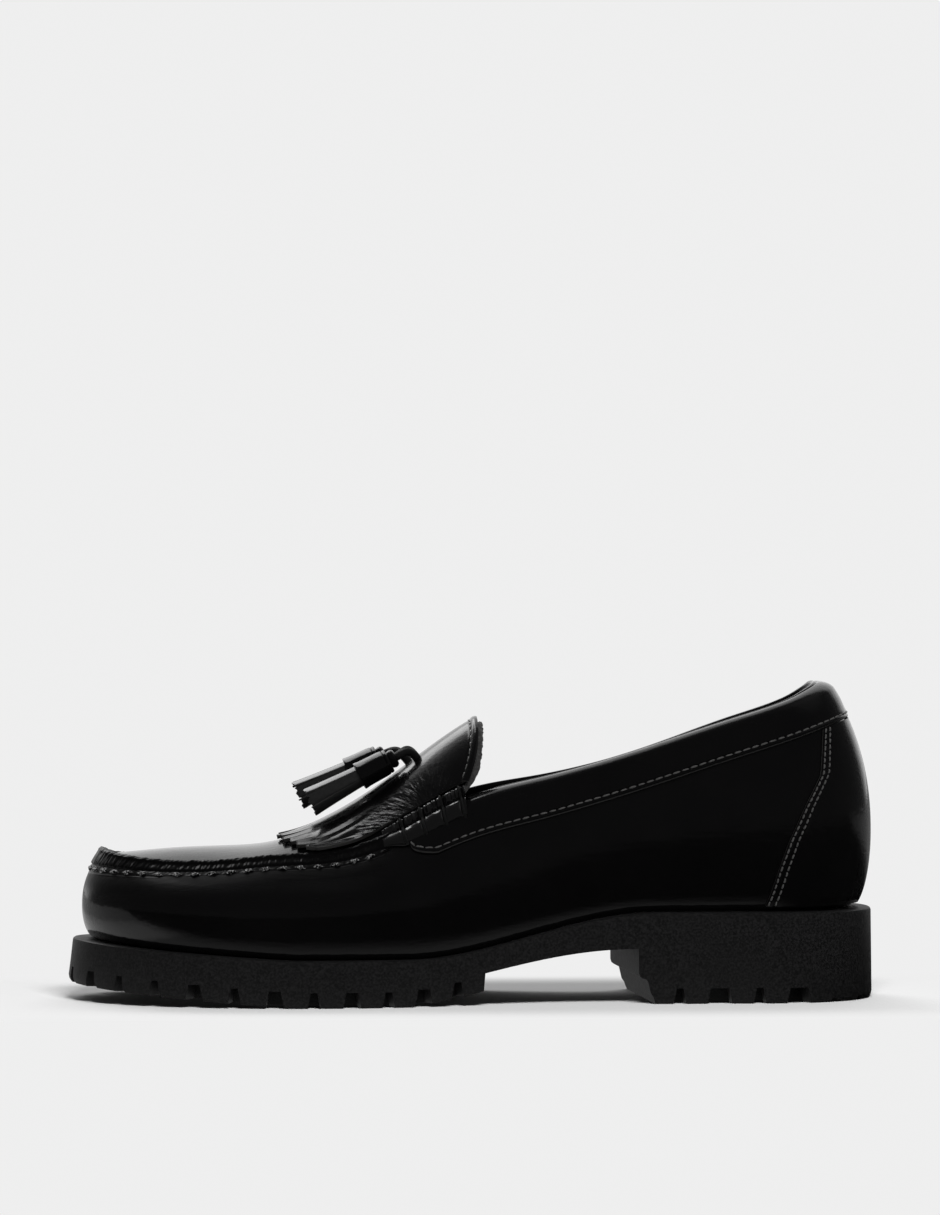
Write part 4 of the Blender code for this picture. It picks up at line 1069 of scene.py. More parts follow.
def seam_relief(along, corner):
    """Height of the seam's gathers: low lobes on the ridge, and a puckered bead below it at each stitch."""
    along, corner = along[:, None], corner[None, :]
    along = along + 0.35 * np.sin(0.9 * along) + 0.25 * np.sin(2.3 * along + 1.0)
    number = np.floor(along / GATHER_PITCH)
    beside = along - (number + 0.5) * GATHER_PITCH
    before_back = 1.0 - ramp(corner, 12.5, 13.5)
    on_ridge = ramp(corner, 4.8, 7.0) * before_back
    lobe = abs(np.cos(math.pi * along / GATHER_PITCH + 0.12 * (corner - 9.0))) ** 0.6
    relief = LOBE_HEIGHT * on_ridge * (lobe - 0.7) * (0.8 + 0.3 * np.sin(2.6 * number))
    wave = np.sin(1.3 * along + 1.2 * corner + np.sin(0.8 * along))
    wave = wave + 0.7 * np.sin(0.7 * along - 1.9 * corner)
    relief = relief + WAVE_HEIGHT * wave * on_ridge
    wrinkle = np.sin(4.3 * along + 2.1 * corner + np.sin(1.9 * along))
    wrinkle = wrinkle + 0.8 * np.sin(2.6 * along - 2.4 * corner + 1.5 * np.sin(0.7 * along))
    relief = relief + WRINKLE_HEIGHT * wrinkle * ramp(corner, 3.0, 5.5) * before_back
    low = 2.2 + 0.3 * np.sin(3.7 * number)
    wedge = ramp(corner, low - 0.5, low) * (1.0 - ramp(corner, low, low + 1.5))
    pleats = 0.75 + 0.25 * np.cos(2 * math.pi * beside / 0.95 + 2.0 * np.sin(5.0 * number))
    tall = 0.60 + 0.15 * np.sin(7.3 * number)
    bead = wedge * bell(beside, BEAD_LENGTH)
    return relief + tall * pleats * bead, bead


def mark_dull(obj, values):
    """Says how dull the first points of a mesh are; any others keep their shine."""
    filled = np.zeros(len(obj.data.vertices))
    filled[: values.size] = values.ravel()
    obj.data.attributes.new("dull", "FLOAT", "POINT").data.foreach_set("value", filled)


def mark_creases(obj, values):
    """Gives the first points of a mesh their crease vectors; any others keep none."""
    creases = obj.data.attributes.new("crease", "FLOAT_VECTOR", "POINT")
    filled = np.zeros(3 * len(obj.data.vertices))
    filled[: len(values)] = values
    creases.data.foreach_set("vector", filled)


def make_apron_seam(last):
    """The raised moccasin seam round the toe: gathered, with a bead where each stitch pulls."""
    first, final = last.knot("vamp", "lateral"), last.knot("vamp", "medial")
    params = np.linspace(first - 5.0, final + 5.0, 940)
    along = seam_run(last, params)
    corners = seam_corners(last, params, along)
    points = 60
    rings = smooth_rings(corners, points)
    corner = np.linspace(0.0, corners.shape[1], points, endpoint=False)
    fade = ramp(along, along[0], along[0] + 6.0) * (1.0 - ramp(along, along[-1] - 6.0, along[-1]))
    relief, bead = (part * fade[:, None] for part in seam_relief(along, corner))
    rings = rings + outward(rings) * relief[..., None]
    shell = Shell()
    shell.grid(rings, wrap=True, caps=True)
    seam = shell.object("apron_seam_leather", [LEATHER])
    crease = np.zeros((*bead.shape, 3))
    crease[..., 0] = 2.6 * along[:, None]
    crease[..., 1] = 14.0 * corner
    crease[..., 2] = 2.2 * bead
    mark_creases(seam, crease.ravel())
    mark_dull(seam, SEAM_DULL * (1.0 - np.minimum(1.0, 3.0 * bead)))
    dressed(seam, "leather", "apron_seam")
    make_puckers(rings, along, corner)


def make_puckers(rings, along, corner):
    """Small folds of leather that each stitch of the apron seam draws up on its bead."""
    shell = Shell()
    count = int((along[-1] - along[0]) / GATHER_PITCH) - 3
    places = (np.floor(along[0] / GATHER_PITCH) + 2.5 + np.arange(count)) * GATHER_PITCH
    away = outward(rings)
    q = np.linspace(-1.0, 1.0, 9)
    middle = len(q) // 2
    for place in places:
        for layer, (low, half) in enumerate(PUCKER_FOLDS):
            run = place + 0.5 * math.sin(5.1 * place + 2.0 * layer) + half * q
            rows = np.clip(np.searchsorted(along, run), 0, len(along) - 1)
            tilt = 0.35 * math.sin(3.3 * place + 2.2 * layer)
            columns = np.searchsorted(corner, low + tilt * q + 0.15 * np.sin(4.0 * q + place))
            fold = rings[rows, columns] + 0.1 * away[rows, columns]
            radius = PUCKER_RADIUS * np.sqrt(1.05 - q**2)
            shell.tube(fold, radius, away[rows[middle], columns[middle]], sides=8)
    # Their material has highlights painted into its base colour as pale flecks.
    dressed(shell.object("apron_seam_puckers", [PUCKER]), "leather")


def make_side_roll(last, side):
    """The rolled seam beside the tongue: a smooth lobe below, a gathered one above, tied with cord."""
    first, final = last.knot("vamp", side), last.knot("throat", side)
    back = 1.0 if final > first else -1.0
    params = np.linspace(first - back * ROLL_START, final - back * 1.0, 190)
    s = last.at(params)
    joint = last.point(s, 1.0)
    width = np.linalg.norm(last.arch(joint[:, 0], 1.0) - last.arch(joint[:, 0], 0.0), axis=-1)
    half = 0.7 * ROLL_REACH / width
    w = half if side == "lateral" else 1.0 - half
    run = run_along(joint)
    swell = ramp(run, 0.0, 9.0)
    low = last.below_top(s, ROLL_REACH + 3.6 * swell, GAP)
    high = last.arch(joint[:, 0], w, GAP + 0.15)
    across = unit(high - low)
    out = unit(np.cross(np.gradient(joint, axis=0), across))
    out = out * np.sign((out * (joint - [0.0, 0.0, 40.0])).sum(axis=-1, keepdims=True))
    sag = ((joint - 0.5 * (low + high)) * out).sum(axis=-1)[:, None]
    ties = run[-1] * np.array(ROLL_TIES)
    pinch = sum(bell(run - tie, 0.8) for tie in ties)[:, None]
    taper = (0.5 + 0.5 * swell)[:, None]
    uneven = run[:, None] + 0.3 * np.sin(run[:, None] * 1.7)
    gathers = 0.22 * np.cos(2 * math.pi * uneven / 1.6) + 0.14 * np.cos(2 * math.pi * uneven / 0.87 + 1.0)
    lower = np.radians(np.linspace(180.0, 26.0, 28))[None, :]
    upper = np.radians(np.linspace(150.0, 0.0, 22))[None, :]
    dents = 0.08 * np.sin(run[:, None] * 0.9 + 2.0 * np.cos(lower))
    t = np.concatenate([0.34 + 0.34 * np.cos(lower), 0.81 + 0.21 * np.cos(upper)], axis=1)
    big = (ROLL_LOW_LOBE * (1.0 - 0.14 * pinch) + dents) * np.sin(lower)
    small = (ROLL_HIGH_LOBE * (1.0 - 0.28 * pinch) + gathers) * np.sin(upper)
    height = np.concatenate([big, small], axis=1) * taper + 0.8 * sag * (1.0 - (2.0 * t - 1.0) ** 2)
    chord = (high - low)[:, None]
    face = low[:, None] + chord * t[..., None] + out[:, None] * height[..., None]
    under = [low + (high - low) * share - out * 0.3 for share in (0.8, 0.2)]
    shell = Shell()
    shell.grid(np.concatenate([face, np.stack(under, axis=1)], axis=1), wrap=True, caps=True)
    dressed(shell.object(f"side_roll_{side}_leather", [ROLLED]), "leather", f"side_roll_{side}")
    make_ties(side, run, ties, joint, face, out)


def make_ties(side, run, ties, joint, face, out):
    """The cords that tie a side roll: each runs over it at a slant, and is smoothed across its folds."""
    cord = Shell()
    kernel = np.ones(9) / 9
    columns = np.arange(2, face.shape[1] - 2)
    slant = np.linspace(4, -4, len(columns)).round().astype(int)
    for tie in ties:
        row = int(np.argmin(abs(run - tie)))
        rows = np.clip(row + slant, 0, len(run) - 1)
        path = face[rows, columns] + out[row] * CORD_LIFT
        inner = np.stack([np.convolve(path[:, k], kernel, "valid") for k in range(3)], axis=-1)
        path = np.vstack([path[:1], inner, path[-1:]])
        along = unit(joint[min(row + 1, len(run) - 1)] - joint[row - 1])
        cord.tube(path, CORD_RADIUS, along, sides=8)
    dressed(cord.object(f"side_roll_{side}_cord", [CORD]), "leather")


def tongue_end(w):
    """X of the tongue's free edge across its arch."""
    return TONGUE_END - 5.0 * abs(2.0 * w - 1.0) ** 5


def make_tongue(last):
    """The tongue, from the apron's back edge up to its free edge, where its flesh side shows."""
    w = np.linspace(0.017, 0.983, 121)[None, :]
    front, back = np.linspace(0.0, 0.85, 24, endpoint=False), np.linspace(0.85, 1.0, 24)
    shares = np.concatenate([front, back])[:, None]
    ragged = 0.14 * np.sin(w * 130.0) + 0.10 * np.sin(w * 310.0 + 1.0)
    edge_at = tongue_end(w) - 1.0 + ragged - 4.0 * ramp(abs(2.0 * w - 1.0), 0.80, 1.0)
    x = TONGUE_FROM + (edge_at - TONGUE_FROM) * shares
    past = ramp(x - edge_at, -TONGUE_MARGIN - 0.5, 0.0)
    sag = 0.7 * past**1.3 + 0.15 * np.sin(x * 2.1 + w * 60.0) * past
    edge = 0.45 * ramp(x - edge_at, -0.5, 0.0)
    shell = Shell()
    shell.plate(last.arch(x, w, -sag - edge - 0.01), last.arch(x, w, -SHEET - sag + edge), edge=1)
    last_row, per_row = x.shape[0] - 1, x.shape[1] - 1
    bare = int(np.argmax(shares[:, 0] > 0.9))
    shell.marks[bare * per_row : last_row * per_row] = [1] * ((last_row - bare) * per_row)
    dressed(shell.object("tongue_leather", [LEATHER, SUEDE]), "leather", "tongue")


def kiltie_side(x):
    """Share of the arch's width beside the kiltie: little by the seam in front, more beside the side roll."""
    return 0.012 + 0.046 * ramp(x, -62.0, -30.0)


def kiltie_relief(last, x, w):
    """How the kiltie lies over the seam and creases beside each side roll, with its crease vectors."""
    width = 1.35 * (last.arch(x, 1.0) - last.arch(x, 0.0))[..., 1]
    relief, crease = np.zeros(x.shape), np.zeros((*x.shape, 3))
    for share, turn in ((w, 0.0), (1.0 - w, 1.9)):
        aside = share * width
        front = 1.0 - ramp(x, -52.0, -34.0)
        relief = relief + 2.5 * (1.0 - ramp(aside, 0.8, 7.0)) * front
        leaf = aside - 7.0 - 0.22 * (x + 60.0)
        raised = ramp(x, -68.0, -58.0) * (1.0 - ramp(x, -46.0, -36.0))
        hollow = ramp(x, -66.0, -54.0) * (1.0 - ramp(x, -42.0, -32.0))
        relief = relief + 0.35 * bell(leaf, 2.8) * raised - 0.30 * bell(leaf - 4.5, 2.6) * hollow
        past = np.maximum(aside - 3.5, 0.0)
        mask = ramp(x, -46.0, -38.0) * (1.0 - ramp(x, -12.0, -4.0)) * bell(past, 11.0)
        angle, radius = np.arctan2(past + 8.0, x + 15.0), np.hypot(past + 8.0, x + 15.0)
        for k, (turns, tall) in enumerate(KILTIE_CREASES):
            warp = 1.1 * np.sin(0.35 * radius + k + turn)
            warp = warp + 0.5 * np.sin(0.8 * radius + 3.0 * angle + 2.0 * k)
            patchy = 0.5 + 0.5 * np.sin(0.55 * radius + 5.0 * angle + 2.1 * k + turn)
            relief = relief + mask * tall * patchy * np.sin(turns * angle + warp + 1.7 * k)
        here = np.stack([20.0 * angle + 50.0 * turn, radius, mask], axis=-1)
        crease = np.where((share < 0.5)[..., None], here, crease)
    return relief, crease


def make_kiltie(last):
    """The fringed flap over vamp and tongue: slit into strips with pinked ends, stitched at its rear edge."""
    cells, root_rows, length = 14, 170, 16
    shares = np.linspace(0.0, 1.0, KILTIE_STRIPS * cells + 1)
    marks = []

    def place(x, share, lift):
        side = kiltie_side(x)
        w = side + (1 - 2 * side) * share
        relief, crease = kiltie_relief(last, x, w)
        return last.arch(x, w, KILTIE_GAP + lift + relief), crease

    def rear(share):
        return tongue_end(share) - KILTIE_MARGIN

    t = np.linspace(0.0, 1.0, root_rows)[:, None]
    x = rear(shares) + (KILTIE_FRONT + KILTIE_SLIT - rear(shares)) * t
    behind = rear(shares) - x
    bead = 0.55 * bell(behind - 0.7, 0.75) - 0.28 * bell(behind - STITCH_INSET, DENT_WIDTH)
    body, crease = place(x, np.broadcast_to(shares, x.shape), bead)
    shell = Shell()
    shell.grid(body)
    marks.append(crease.ravel())
    root = (root_rows - 1) * len(shares)
    for strip in range(KILTIE_STRIPS):
        columns = strip * cells + np.arange(cells + 1)
        t = (np.arange(1, length + 1) / length)[:, None]
        middle = (strip + 0.5) / KILTIE_STRIPS
        pinked = np.where(np.arange(cells + 1) % 2 == 0, 0.0, -PINKING)[None, :] * (t > 0.99)
        trimmed = KILTIE_SIDE_TRIM * abs(2 * middle - 1) ** 2.0
        reach = KILTIE_SLIT - trimmed + 0.4 * math.sin(2.7 * strip)
        x = KILTIE_FRONT + KILTIE_SLIT - reach * t + pinked
        trim = KILTIE_SLIT_SHARE * np.minimum(1.0, 4.0 * t)
        share = middle + (shares[columns][None, :] - middle) * (1.0 - 2.0 * trim)
        cupped = 0.36 * t * abs(share - middle) * KILTIE_STRIPS
        curl = (0.3 + 0.3 * math.sin(1.9 * strip)) * t**2 + cupped
        points, crease = place(x, share, curl)
        marks.append(crease.ravel())
        shell.quads(np.vstack([root + columns, shell.add(points)]))
    obj = shell.object("kiltie_leather", [SOFT, SOFT, EDGE])
    face_away(obj, UNDER_KILTIE)
    mark_creases(obj, np.concatenate(marks))
    thickness(obj, SHEET - 0.2, inwards=False)
    soften(obj, KILTIE_SOFT_EDGE, KILTIE_SOFT_ANGLE)
    dressed(obj, "leather", "kiltie")
    share = np.linspace(0.015, 0.985, 200)
    path, _ = place(rear(share) - STITCH_INSET, share, SHEET - 0.4)
    above, _ = place(rear(share) - STITCH_INSET, share, SHEET + 2.0)
    sew("kiltie_stitches", "leather", [(path, unit(above - path), KILTIE_STITCH)])


def soften(obj, width, angle, harden=False):
    """Rounds the sharp edges of a piece a little."""
    bevel = obj.modifiers.new("Soft_edge", "BEVEL")
    bevel.width = width * MM
    bevel.segments = 2
    bevel.limit_method = "ANGLE"
    bevel.angle_limit = math.radians(angle)
    bevel.harden_normals = harden


def tassel_axes(place):
    """The tassel's own axes: along it from head to tip, and two directions across it."""
    head, tip = np.array(place.head), np.array(place.tip)
    along = unit(tip - head)
    side = unit(np.cross(along, UP))
    return head, along, side, np.cross(side, along)


def make_tassel(place, turn):
    """A tassel: a knob, a wrapped barrel and two layers of flat leather strips with ragged ends."""
    head, along, side, over = tassel_axes(place)

    def spot(radius, angle, drop, aside=0.0):
        radius, angle, drop, aside = np.broadcast_arrays(radius, angle, drop, aside)
        across = np.cos(angle)[..., None] * side + np.sin(angle)[..., None] * over
        beside = np.cos(angle)[..., None] * over - np.sin(angle)[..., None] * side
        return head + across * radius[..., None] + beside * aside[..., None] + along * drop[..., None]

    shell = Shell()
    round_angle = np.linspace(0.0, 2 * math.pi, 40, endpoint=False)[None, :]
    radius, drop = np.array(KNOB).T[:, :, None]
    shell.grid(spot(radius, round_angle, drop), wrap=True, caps=True)
    sector = 2 * math.pi / TASSEL_STRIPS
    lap = np.linspace(math.pi, math.pi * 3.2, 120)[None, :]
    facet = (lap + sector / 2) % sector - sector / 2
    shape = (math.cos(sector / 2) / np.cos(facet)) ** 0.5 * 1.05
    spiral = 0.50 * np.linspace(0.0, 1.0, 120)[None, :] ** 2
    drops, radii, wraps = np.array([BARREL_DROP, BARREL_RADIUS, BARREL_WRAP])[:, :, None]
    outer = radii * shape + spiral
    inner = outer - wraps
    shell.plate(spot(outer, lap + turn, drops), spot(inner, lap + turn, drops))
    for layer, (shift, near, wide) in enumerate(STRIP_LAYERS):
        for k in range(TASSEL_STRIPS):
            wobble = math.sin(2.3 * k + 4.0 * layer + turn)
            angle = sector * (k + shift) + turn + 0.05 * wobble * (k > 0)
            length = TASSEL_LENGTH - 0.6 - 1.6 * math.sin(3.1 * k + layer) ** 2 - 1.0 * layer
            t = np.linspace(0.0, 1.0, 14)[:, None]
            q = np.array([-1.0, -0.96, -0.85, -0.5, 0.0, 0.5, 0.85, 0.96, 1.0])[None, :]
            ragged = (0.5 * np.sin(9.0 * q + 2.0 * k) + 0.3 * np.cos(21.0 * q + k)) * (t > 0.99)
            drop = STRIP_ROOT + (length - STRIP_ROOT) * t + ragged
            splay = near + 1.5 * t**1.2 + 0.4 * wobble * t**2
            out = splay + 0.12 * (1.0 - q**2) + 0.28 * wobble * q * t
            skive = 0.16 * ramp(abs(q), 0.88, 1.0)
            half = wide * (0.92 + 0.2 * t) * q
            outside = spot(out - skive, angle, drop, half)
            inside = spot(out - STRIP_THICKNESS + skive, angle, drop, half)
            shell.plate(outside, inside, mark=2, edge=1)
    tassel = shell.object(f"tassel_{place.side}_leather", [LEATHER, EDGE, DULL], 35.0)
    dressed(tassel, "leather", f"tassel_{place.side}")


def make_lace(last, place):
    """The flat lace that loops from the kiltie to the tassel's head, there and back."""
    x, y = place.root
    left, right = last.arch(x, 0.0)[1], last.arch(x, 1.0)[1]
    w = (y - left) / (right - left)
    foot = last.arch(x, w, KILTIE_GAP + SHEET + 0.2)
    up = unit(last.arch(x, w, 6.0) - foot)
    axis = unit(np.array(place.head) - np.array(place.tip))
    aside = unit(np.cross(up, axis))
    start, end = foot - up * 0.9, np.array(place.head) - axis * 1.0
    t = np.linspace(0.0, 1.0, 40)[:, None]
    shell = Shell()
    for out, back, beside in LACE_RUNS:
        leave = start + up * (LACE_PULL_OUT + out) + aside * beside
        arrive = end + axis * (LACE_PULL_IN + back) + aside * beside
        path = bent(start, leave, arrive, end, t)
        over = np.cross(aside, unit(np.gradient(path, axis=0)))
        shell.tube(path, LACE_RADIUS, over, sides=16, flat=0.8)
    lace = shell.object(f"tassel_lace_{place.side}_leather", [CORD])
    dressed(lace, "leather", f"tassel_lace_{place.side}")


def edge_ring(s, inset, base, lift=0.0):
    """The sole's outline moved in by inset, a lift above the height that base works out from X."""
    x, y = s["x"] - s["nx"] * inset, s["y"] - s["ny"] * inset
    return np.stack([x, y, base(x) + lift], axis=-1)


def paired_faces(start, count):
    """Quads across a closed ring, each between a lateral edge and the medial edge facing it."""
    half, faces = count // 2, []
    for i in range(half):
        corners = dict.fromkeys((i, i + 1, (count - i - 1) % count, (count - i) % count))
        faces.append([start + c for c in corners])
    return faces


def slab(rings):
    """A closed shell between a top ring and a bottom ring, with rings of its side between them."""
    shell, count = Shell(), len(rings[0])
    shell.grid(np.stack(rings), wrap=True)
    shell.extend(paired_faces(0, count) + paired_faces((len(rings) - 1) * count, count))
    return shell


def bar(shell, centre, along, out, bottom, top, half_low, half_high, reach):
    """A tapered bar: its section stands across along, and it runs from reach[0] to reach[1] on out."""
    corners = ((-half_low, bottom), (half_low, bottom), (half_high, top), (-half_high, top))
    ends = [
        [
            (centre[0] + along[0] * a + out[0] * far, centre[1] + along[1] * a + out[1] * far, z)
            for a, z in corners
        ]
        for far in reach
    ]
    shell.grid(np.array(ends), wrap=True, caps=True)


def shank_cutter():
    """The gap under the arch, from the tread's end to the stepped breast of the heel."""
    sections = []
    for y in (-BALL_WIDTH, BALL_WIDTH):
        breast, end = BREAST_AT - BREAST_SKEW * y, TREAD_END
        under = [
            (end + (breast - end) * t, ARCH_START + (ARCH_END - ARCH_START) * math.sin(t * math.pi / 2))
            for t in np.linspace(0.0, 1.0, 15)
        ]
        profile = [(end - 1.2, -3.0), *under, *((breast + back, height) for back, height in BREAST_STEPS)]
        sections.append([(x, y, z) for x, z in profile])
    shell = Shell()
    shell.grid(np.array(sections), wrap=True, caps=True)
    return shell.object("cutter_shank", [])


def outline_walk(last, first, final, pitch, growth):
    """Places along the sole's edge, a pitch apart that grows by each step."""
    params = np.linspace(first, final, 600)
    s = last.at(params)
    run = run_along(np.stack([s["x"], s["y"]], axis=-1))
    places = [0.0]
    while places[-1] + pitch < run[-1]:
        places.append(places[-1] + pitch)
        pitch += growth
    return last.at(np.interp(places, run, params))


def notch_cutter(last):
    """The notches between the lugs of the sole's edge: round the forefoot and round the heel."""
    toe = last.knot("toe_tip", "lateral")
    heel = last.knot("heel_breast", "lateral")
    beyond = last.knot("heel_breast", "medial") - last.total
    walks = (
        (last.knot("throat", "lateral") + LUGS_FROM_THROAT, toe, LUG_PITCH, LUG_PITCH_GROWTH, WIDE_NOTCH),
        (last.knot("throat", "medial") - LUGS_FROM_THROAT, toe, LUG_PITCH, LUG_PITCH_GROWTH, WIDE_NOTCH),
        (heel - LUGS_FROM_BREAST, beyond + LUGS_TO_BREAST, HEEL_LUG_PITCH, 0.0, HEEL_NOTCH),
    )
    shell = Shell()
    for first, final, pitch, growth, wide in walks:
        places = outline_walk(last, first, final, pitch, growth)
        for k in range(len(places["x"])):
            x, y, nx, ny = (float(places[c][k]) for c in ("x", "y", "nx", "ny"))
            shallow = x > BACK_NOTCHES_FROM
            half = (wide if k in WIDE_PLACES and not shallow else NARROW_NOTCH) / 2
            low, depth = float(ground(x)), BACK_NOTCH_DEPTH if shallow else LUG_DEPTH
            ends = (low - OVERCUT, low + depth, half + NOTCH_FLARE, half, (NOTCH_OVERHANG, -LUG_LENGTH))
            bar(shell, (x, y), (-ny, nx), (nx, ny), *ends)
    return shell.object("cutter_notches", [])


def channel_cutter(last, name, keep):
    """A channel inside the edge lugs, along the part of the outline that keep accepts."""
    s = last.at(last.between(6, 6))
    half, count = CHANNEL_WIDTH / 2, len(s["x"])
    inner, outer = CHANNEL_INSET + half, CHANNEL_INSET - half
    corners = (
        (outer, -OVERCUT),
        (inner, -OVERCUT),
        (inner - CHANNEL_TAPER, CHANNEL_DEPTH),
        (outer + CHANNEL_TAPER, CHANNEL_DEPTH),
    )
    tracks = [edge_ring(s, inset, ground, lift) for inset, lift in corners]
    order = [i for i in range(count) if keep(s["x"][i])]
    start = next((k for k, i in enumerate(order) if (i - 1) % count not in order), 0)
    order = order[start:] + order[:start]
    shell = Shell()
    shell.grid(np.stack([track[order] for track in tracks], axis=1), wrap=True, caps=True)
    return shell.object(name, [])


def groove_cutter():
    """Cross grooves that part the middle of the tread into bars."""
    shell = Shell()
    forefoot = np.arange(GROOVE_FIRST, TREAD_END - 6.0, GROOVE_PITCH)
    widths, reach = (GROOVE_LOW_HALF, GROOVE_HIGH_HALF), (-GROOVE_REACH, GROOVE_REACH)
    for x in (*forefoot, HEEL_GROOVE, HEEL_GROOVE + GROOVE_PITCH):
        low = float(ground(x))
        bar(shell, (x, 0.0), (1.0, 0.0), (0.0, 1.0), low - OVERCUT, low + GROOVE_DEPTH, *widths, reach)
    return shell.object("cutter_grooves", [])


def half_way_up(x):
    return 0.5 * (sole_top(x) + ground(x))


def make_outsole(last):
    """The moulded rubber sole unit: soft upper edge, heel, arch and lugs."""
    s = last.at(last.between(10, 10))
    flare = TOE_FLARE * ramp(-s["x"], SOLE_LENGTH * 0.33, SOLE_LENGTH * 0.5)
    rings = [edge_ring(s, inset + flare, sole_top, -drop) for inset, drop in SOLE_UPPER_EDGE]
    rings.append(edge_ring(s, 0.15 + 0.5 * flare, half_way_up))
    rings += [edge_ring(s, inset, ground, rise) for inset, rise in SOLE_LOWER_EDGE]
    sole = slab(rings).object("outsole_rubber", [RUBBER], 30.0)
    cutters = [
        shank_cutter(),
        notch_cutter(last),
        channel_cutter(last, "cutter_channel_front", lambda x: x < FRONT_CHANNEL_END),
        channel_cutter(last, "cutter_channel_heel", lambda x: x > HEEL_CHANNEL_START),
        groove_cutter(),
    ]
    for cutter in cutters:
        boolean = sole.modifiers.new(cutter.name, "BOOLEAN")
        boolean.operation = "DIFFERENCE"
        boolean.object = cutter
    settle(sole)
    for cutter in cutters:
        bpy.data.objects.remove(cutter)
    soften(sole, SOLE_SOFT_EDGE, SOLE_SOFT_ANGLE, harden=True)
    dressed(sole, "rubber", "outsole")


def settle(obj):
    """Replaces an object's mesh by what its modifiers make of it."""
    graph = bpy.context.evaluated_depsgraph_get()
    graph.update()
    mesh = bpy.data.meshes.new_from_object(obj.evaluated_get(graph))
    obj.modifiers.clear()
    obj.data = mesh


def insole_top(x):
    return sole_top(x) + GAP + INSOLE_THICKNESS


def make_insole(last):
    """The footbed: a leather sock over a soft board, with a sewn edge."""
    s = last.at(last.between(8, 8))
    edge = s["ledge"] + INSOLE_CLEARANCE
    rings = [edge_ring(s, edge + inset, insole_top, -drop) for inset, drop in INSOLE_FACE]
    dressed(slab(rings).object("insole_leather", [LINING]), "lining", "insole")
    path = edge_ring(s, edge + INSOLE_SEWN_AT, insole_top, -0.42)
    path = np.vstack([path, path[:1]])
    sew("insole_stitches", "lining", [(path, np.tile(UP, (len(path), 1)), INSOLE_STITCH)])


def mirrored_floor(tree, place):
    """The floor in polished leather: bright before the toe, dim beside the shoe, dark towards the camera."""
    lit = larger(tree, lit_within(tree, place, FLOOR_TOE), lit_within(tree, place, FLOOR_BESIDE))
    lit = larger(tree, lit, lit_within(tree, place, FLOOR_BEYOND))
    strength = product(tree, lit_within(tree, place, FLOOR_BEHIND), lit)
    return node(tree, "Emission", {"Strength": strength})["Emission"]


def make_floor():
    """A pale floor that takes on the background's own tone away from the shoe."""
    corners = ((-1, -1), (1, -1), (1, 1), (-1, 1))
    mesh = bpy.data.meshes.new("floor")
    mesh.from_pydata([(FLOOR_HALF * x, FLOOR_HALF * y, 0.0) for x, y in corners], [], [(0, 1, 2, 3)])
    floor = bpy.data.objects.new("floor", mesh)
    bpy.context.scene.collection.objects.link(floor)
    material, tree, shader = node_tree("pale_floor")
    wire(tree, shader, {"Base Color": FLOOR_COLOUR, "Roughness": 0.9, "Specular IOR Level": 0.0})
    glow = node(tree, "Emission", {"Color": BACKGROUND})["Emission"]
    place = node(tree, "TexCoord")["Object"]
    aside = node(tree, "VectorMath", {0: place}, operation="ABSOLUTE")["Vector"]
    away = node(tree, "VectorMath", {0: aside, 1: FOOTPRINT}, operation="SUBTRACT")["Vector"]
    parts = node(tree, "SeparateXYZ", {"Vector": away})
    far = fading(tree, larger(tree, parts["X"], parts["Y"]), 0.0, FOOTPRINT_FADE)
    seen = mixed(tree, far, shader.outputs["BSDF"], glow)
    glossy = node(tree, "LightPath")["Is Glossy Ray"]
    surface = mixed(tree, glossy, seen, mirrored_floor(tree, place))
    wire(tree, tree.nodes["Material Output"], {"Surface": surface})
    mesh.materials.append(material)


def make_world():
    """A pale studio: a bright backdrop, two soft boxes high behind the toe, and faint light elsewhere.

    The camera sees the backdrop's plain tone all round.
    """
    world = bpy.data.worlds.new("studio")
    bpy.context.scene.world = world
    world.use_nodes = True
    tree = world.node_tree
    base = tree.nodes["Background"]
    wire(tree, base, {"Color": BACKGROUND})
    place = node(tree, "TexCoord")["Generated"]
    boxes = larger(tree, lit_within(tree, place, TOE_BOX), lit_within(tree, place, HIGH_BOX))
    wide = larger(tree, lit_within(tree, place, BACKDROP), lit_within(tree, place, OVERHEAD))
    level = node(tree, "Math", {0: larger(tree, boxes, wide), 1: SKY_LEVEL}, operation="ADD")["Value"]
    around = node(tree, "Background", {"Strength": level})["Background"]
    camera = node(tree, "LightPath")["Is Camera Ray"]
    surface = mixed(tree, camera, around, base.outputs["Background"])
    wire(tree, tree.nodes["World Output"], {"Surface": surface})


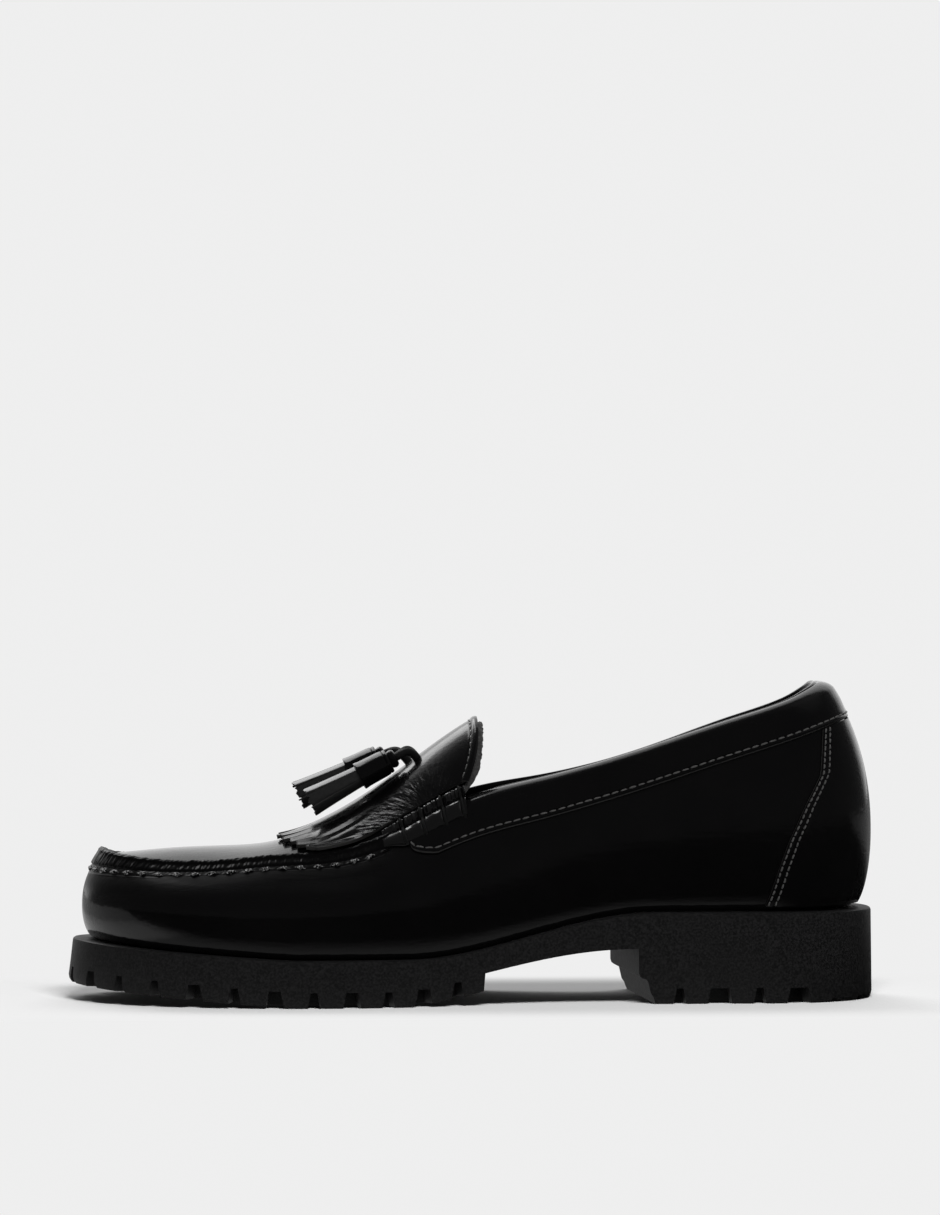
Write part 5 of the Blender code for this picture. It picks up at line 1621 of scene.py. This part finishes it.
def make_lamp(lamp):
    """A soft rectangular light aimed at the shoe. Polished leather doesn't mirror it."""
    data = bpy.data.lights.new(lamp.name, "AREA")
    data.shape = "RECTANGLE"
    data.size, data.size_y = lamp.size
    data.energy = lamp.power
    light = bpy.data.objects.new(lamp.name, data)
    light.location = lamp.place
    light.rotation_mode = "QUATERNION"
    light.rotation_quaternion = (Vector(AIM) - Vector(lamp.place)).to_track_quat("-Z", "Y")
    light.visible_glossy = False
    bpy.context.scene.collection.objects.link(light)


def make_camera():
    """The photograph's view: from the lateral side, a little above the shoe."""
    turn = math.radians(CAMERA_TURN)
    data = bpy.data.cameras.new("camera")
    data.sensor_width = SENSOR
    data.lens = SENSOR * FOCAL_PIXELS / PICTURE_ROWS
    camera = bpy.data.objects.new("camera", data)
    camera.location = (
        CAMERA_ASIDE * math.cos(turn) - CAMERA_DISTANCE * math.sin(turn),
        -CAMERA_ASIDE * math.sin(turn) - CAMERA_DISTANCE * math.cos(turn),
        CAMERA_HEIGHT,
    )
    pitch = math.atan((PICTURE_ROWS / 2 - PRINCIPAL_ROW) / FOCAL_PIXELS)
    camera.rotation_euler = (math.pi / 2 - pitch, 0.0, -turn)
    bpy.context.scene.collection.objects.link(camera)
    bpy.context.scene.camera = camera


def main():
    last = Last()
    make_outsole(last)
    make_insole(last)
    make_upper(last)
    make_tongue(last)
    make_kiltie(last)
    make_collar_band(last)
    make_heel_counter(last)
    make_apron_seam(last)
    for side in ("lateral", "medial"):
        make_side_roll(last, side)
    for place, turn in zip(TASSELS, TASSEL_TURNS):
        make_tassel(place, math.radians(turn))
        make_lace(last, place)
    make_floor()
    make_world()
    for lamp in LAMPS:
        make_lamp(lamp)
    make_camera()


for old in list(bpy.data.objects):
    bpy.data.objects.remove(old)
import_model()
bpy.context.scene.view_settings.view_transform = "Standard"
LEATHER = polished_leather("black_polished_leather")
SOFT = polished_leather("black_soft_leather", 0.11)
ROLLED = polished_leather("black_rolled_leather", 0.10, 2.0)
EDGE = raw_edge("black_cut_edge")
LINING = lining_leather("black_lining_leather")
RUBBER = moulded_rubber("black_rubber")
WAXED = waxed_thread("black_waxed_thread")
CORD = waxed_cord("black_leather_cord")
SUEDE = suede("black_flesh_side")
DULL = dull_leather("black_dull_leather")
# The puckers' material has painted highlights: pale flecks in its base colour.
PUCKER = puckered_leather("black_puckered_leather_painted_glints")
main()
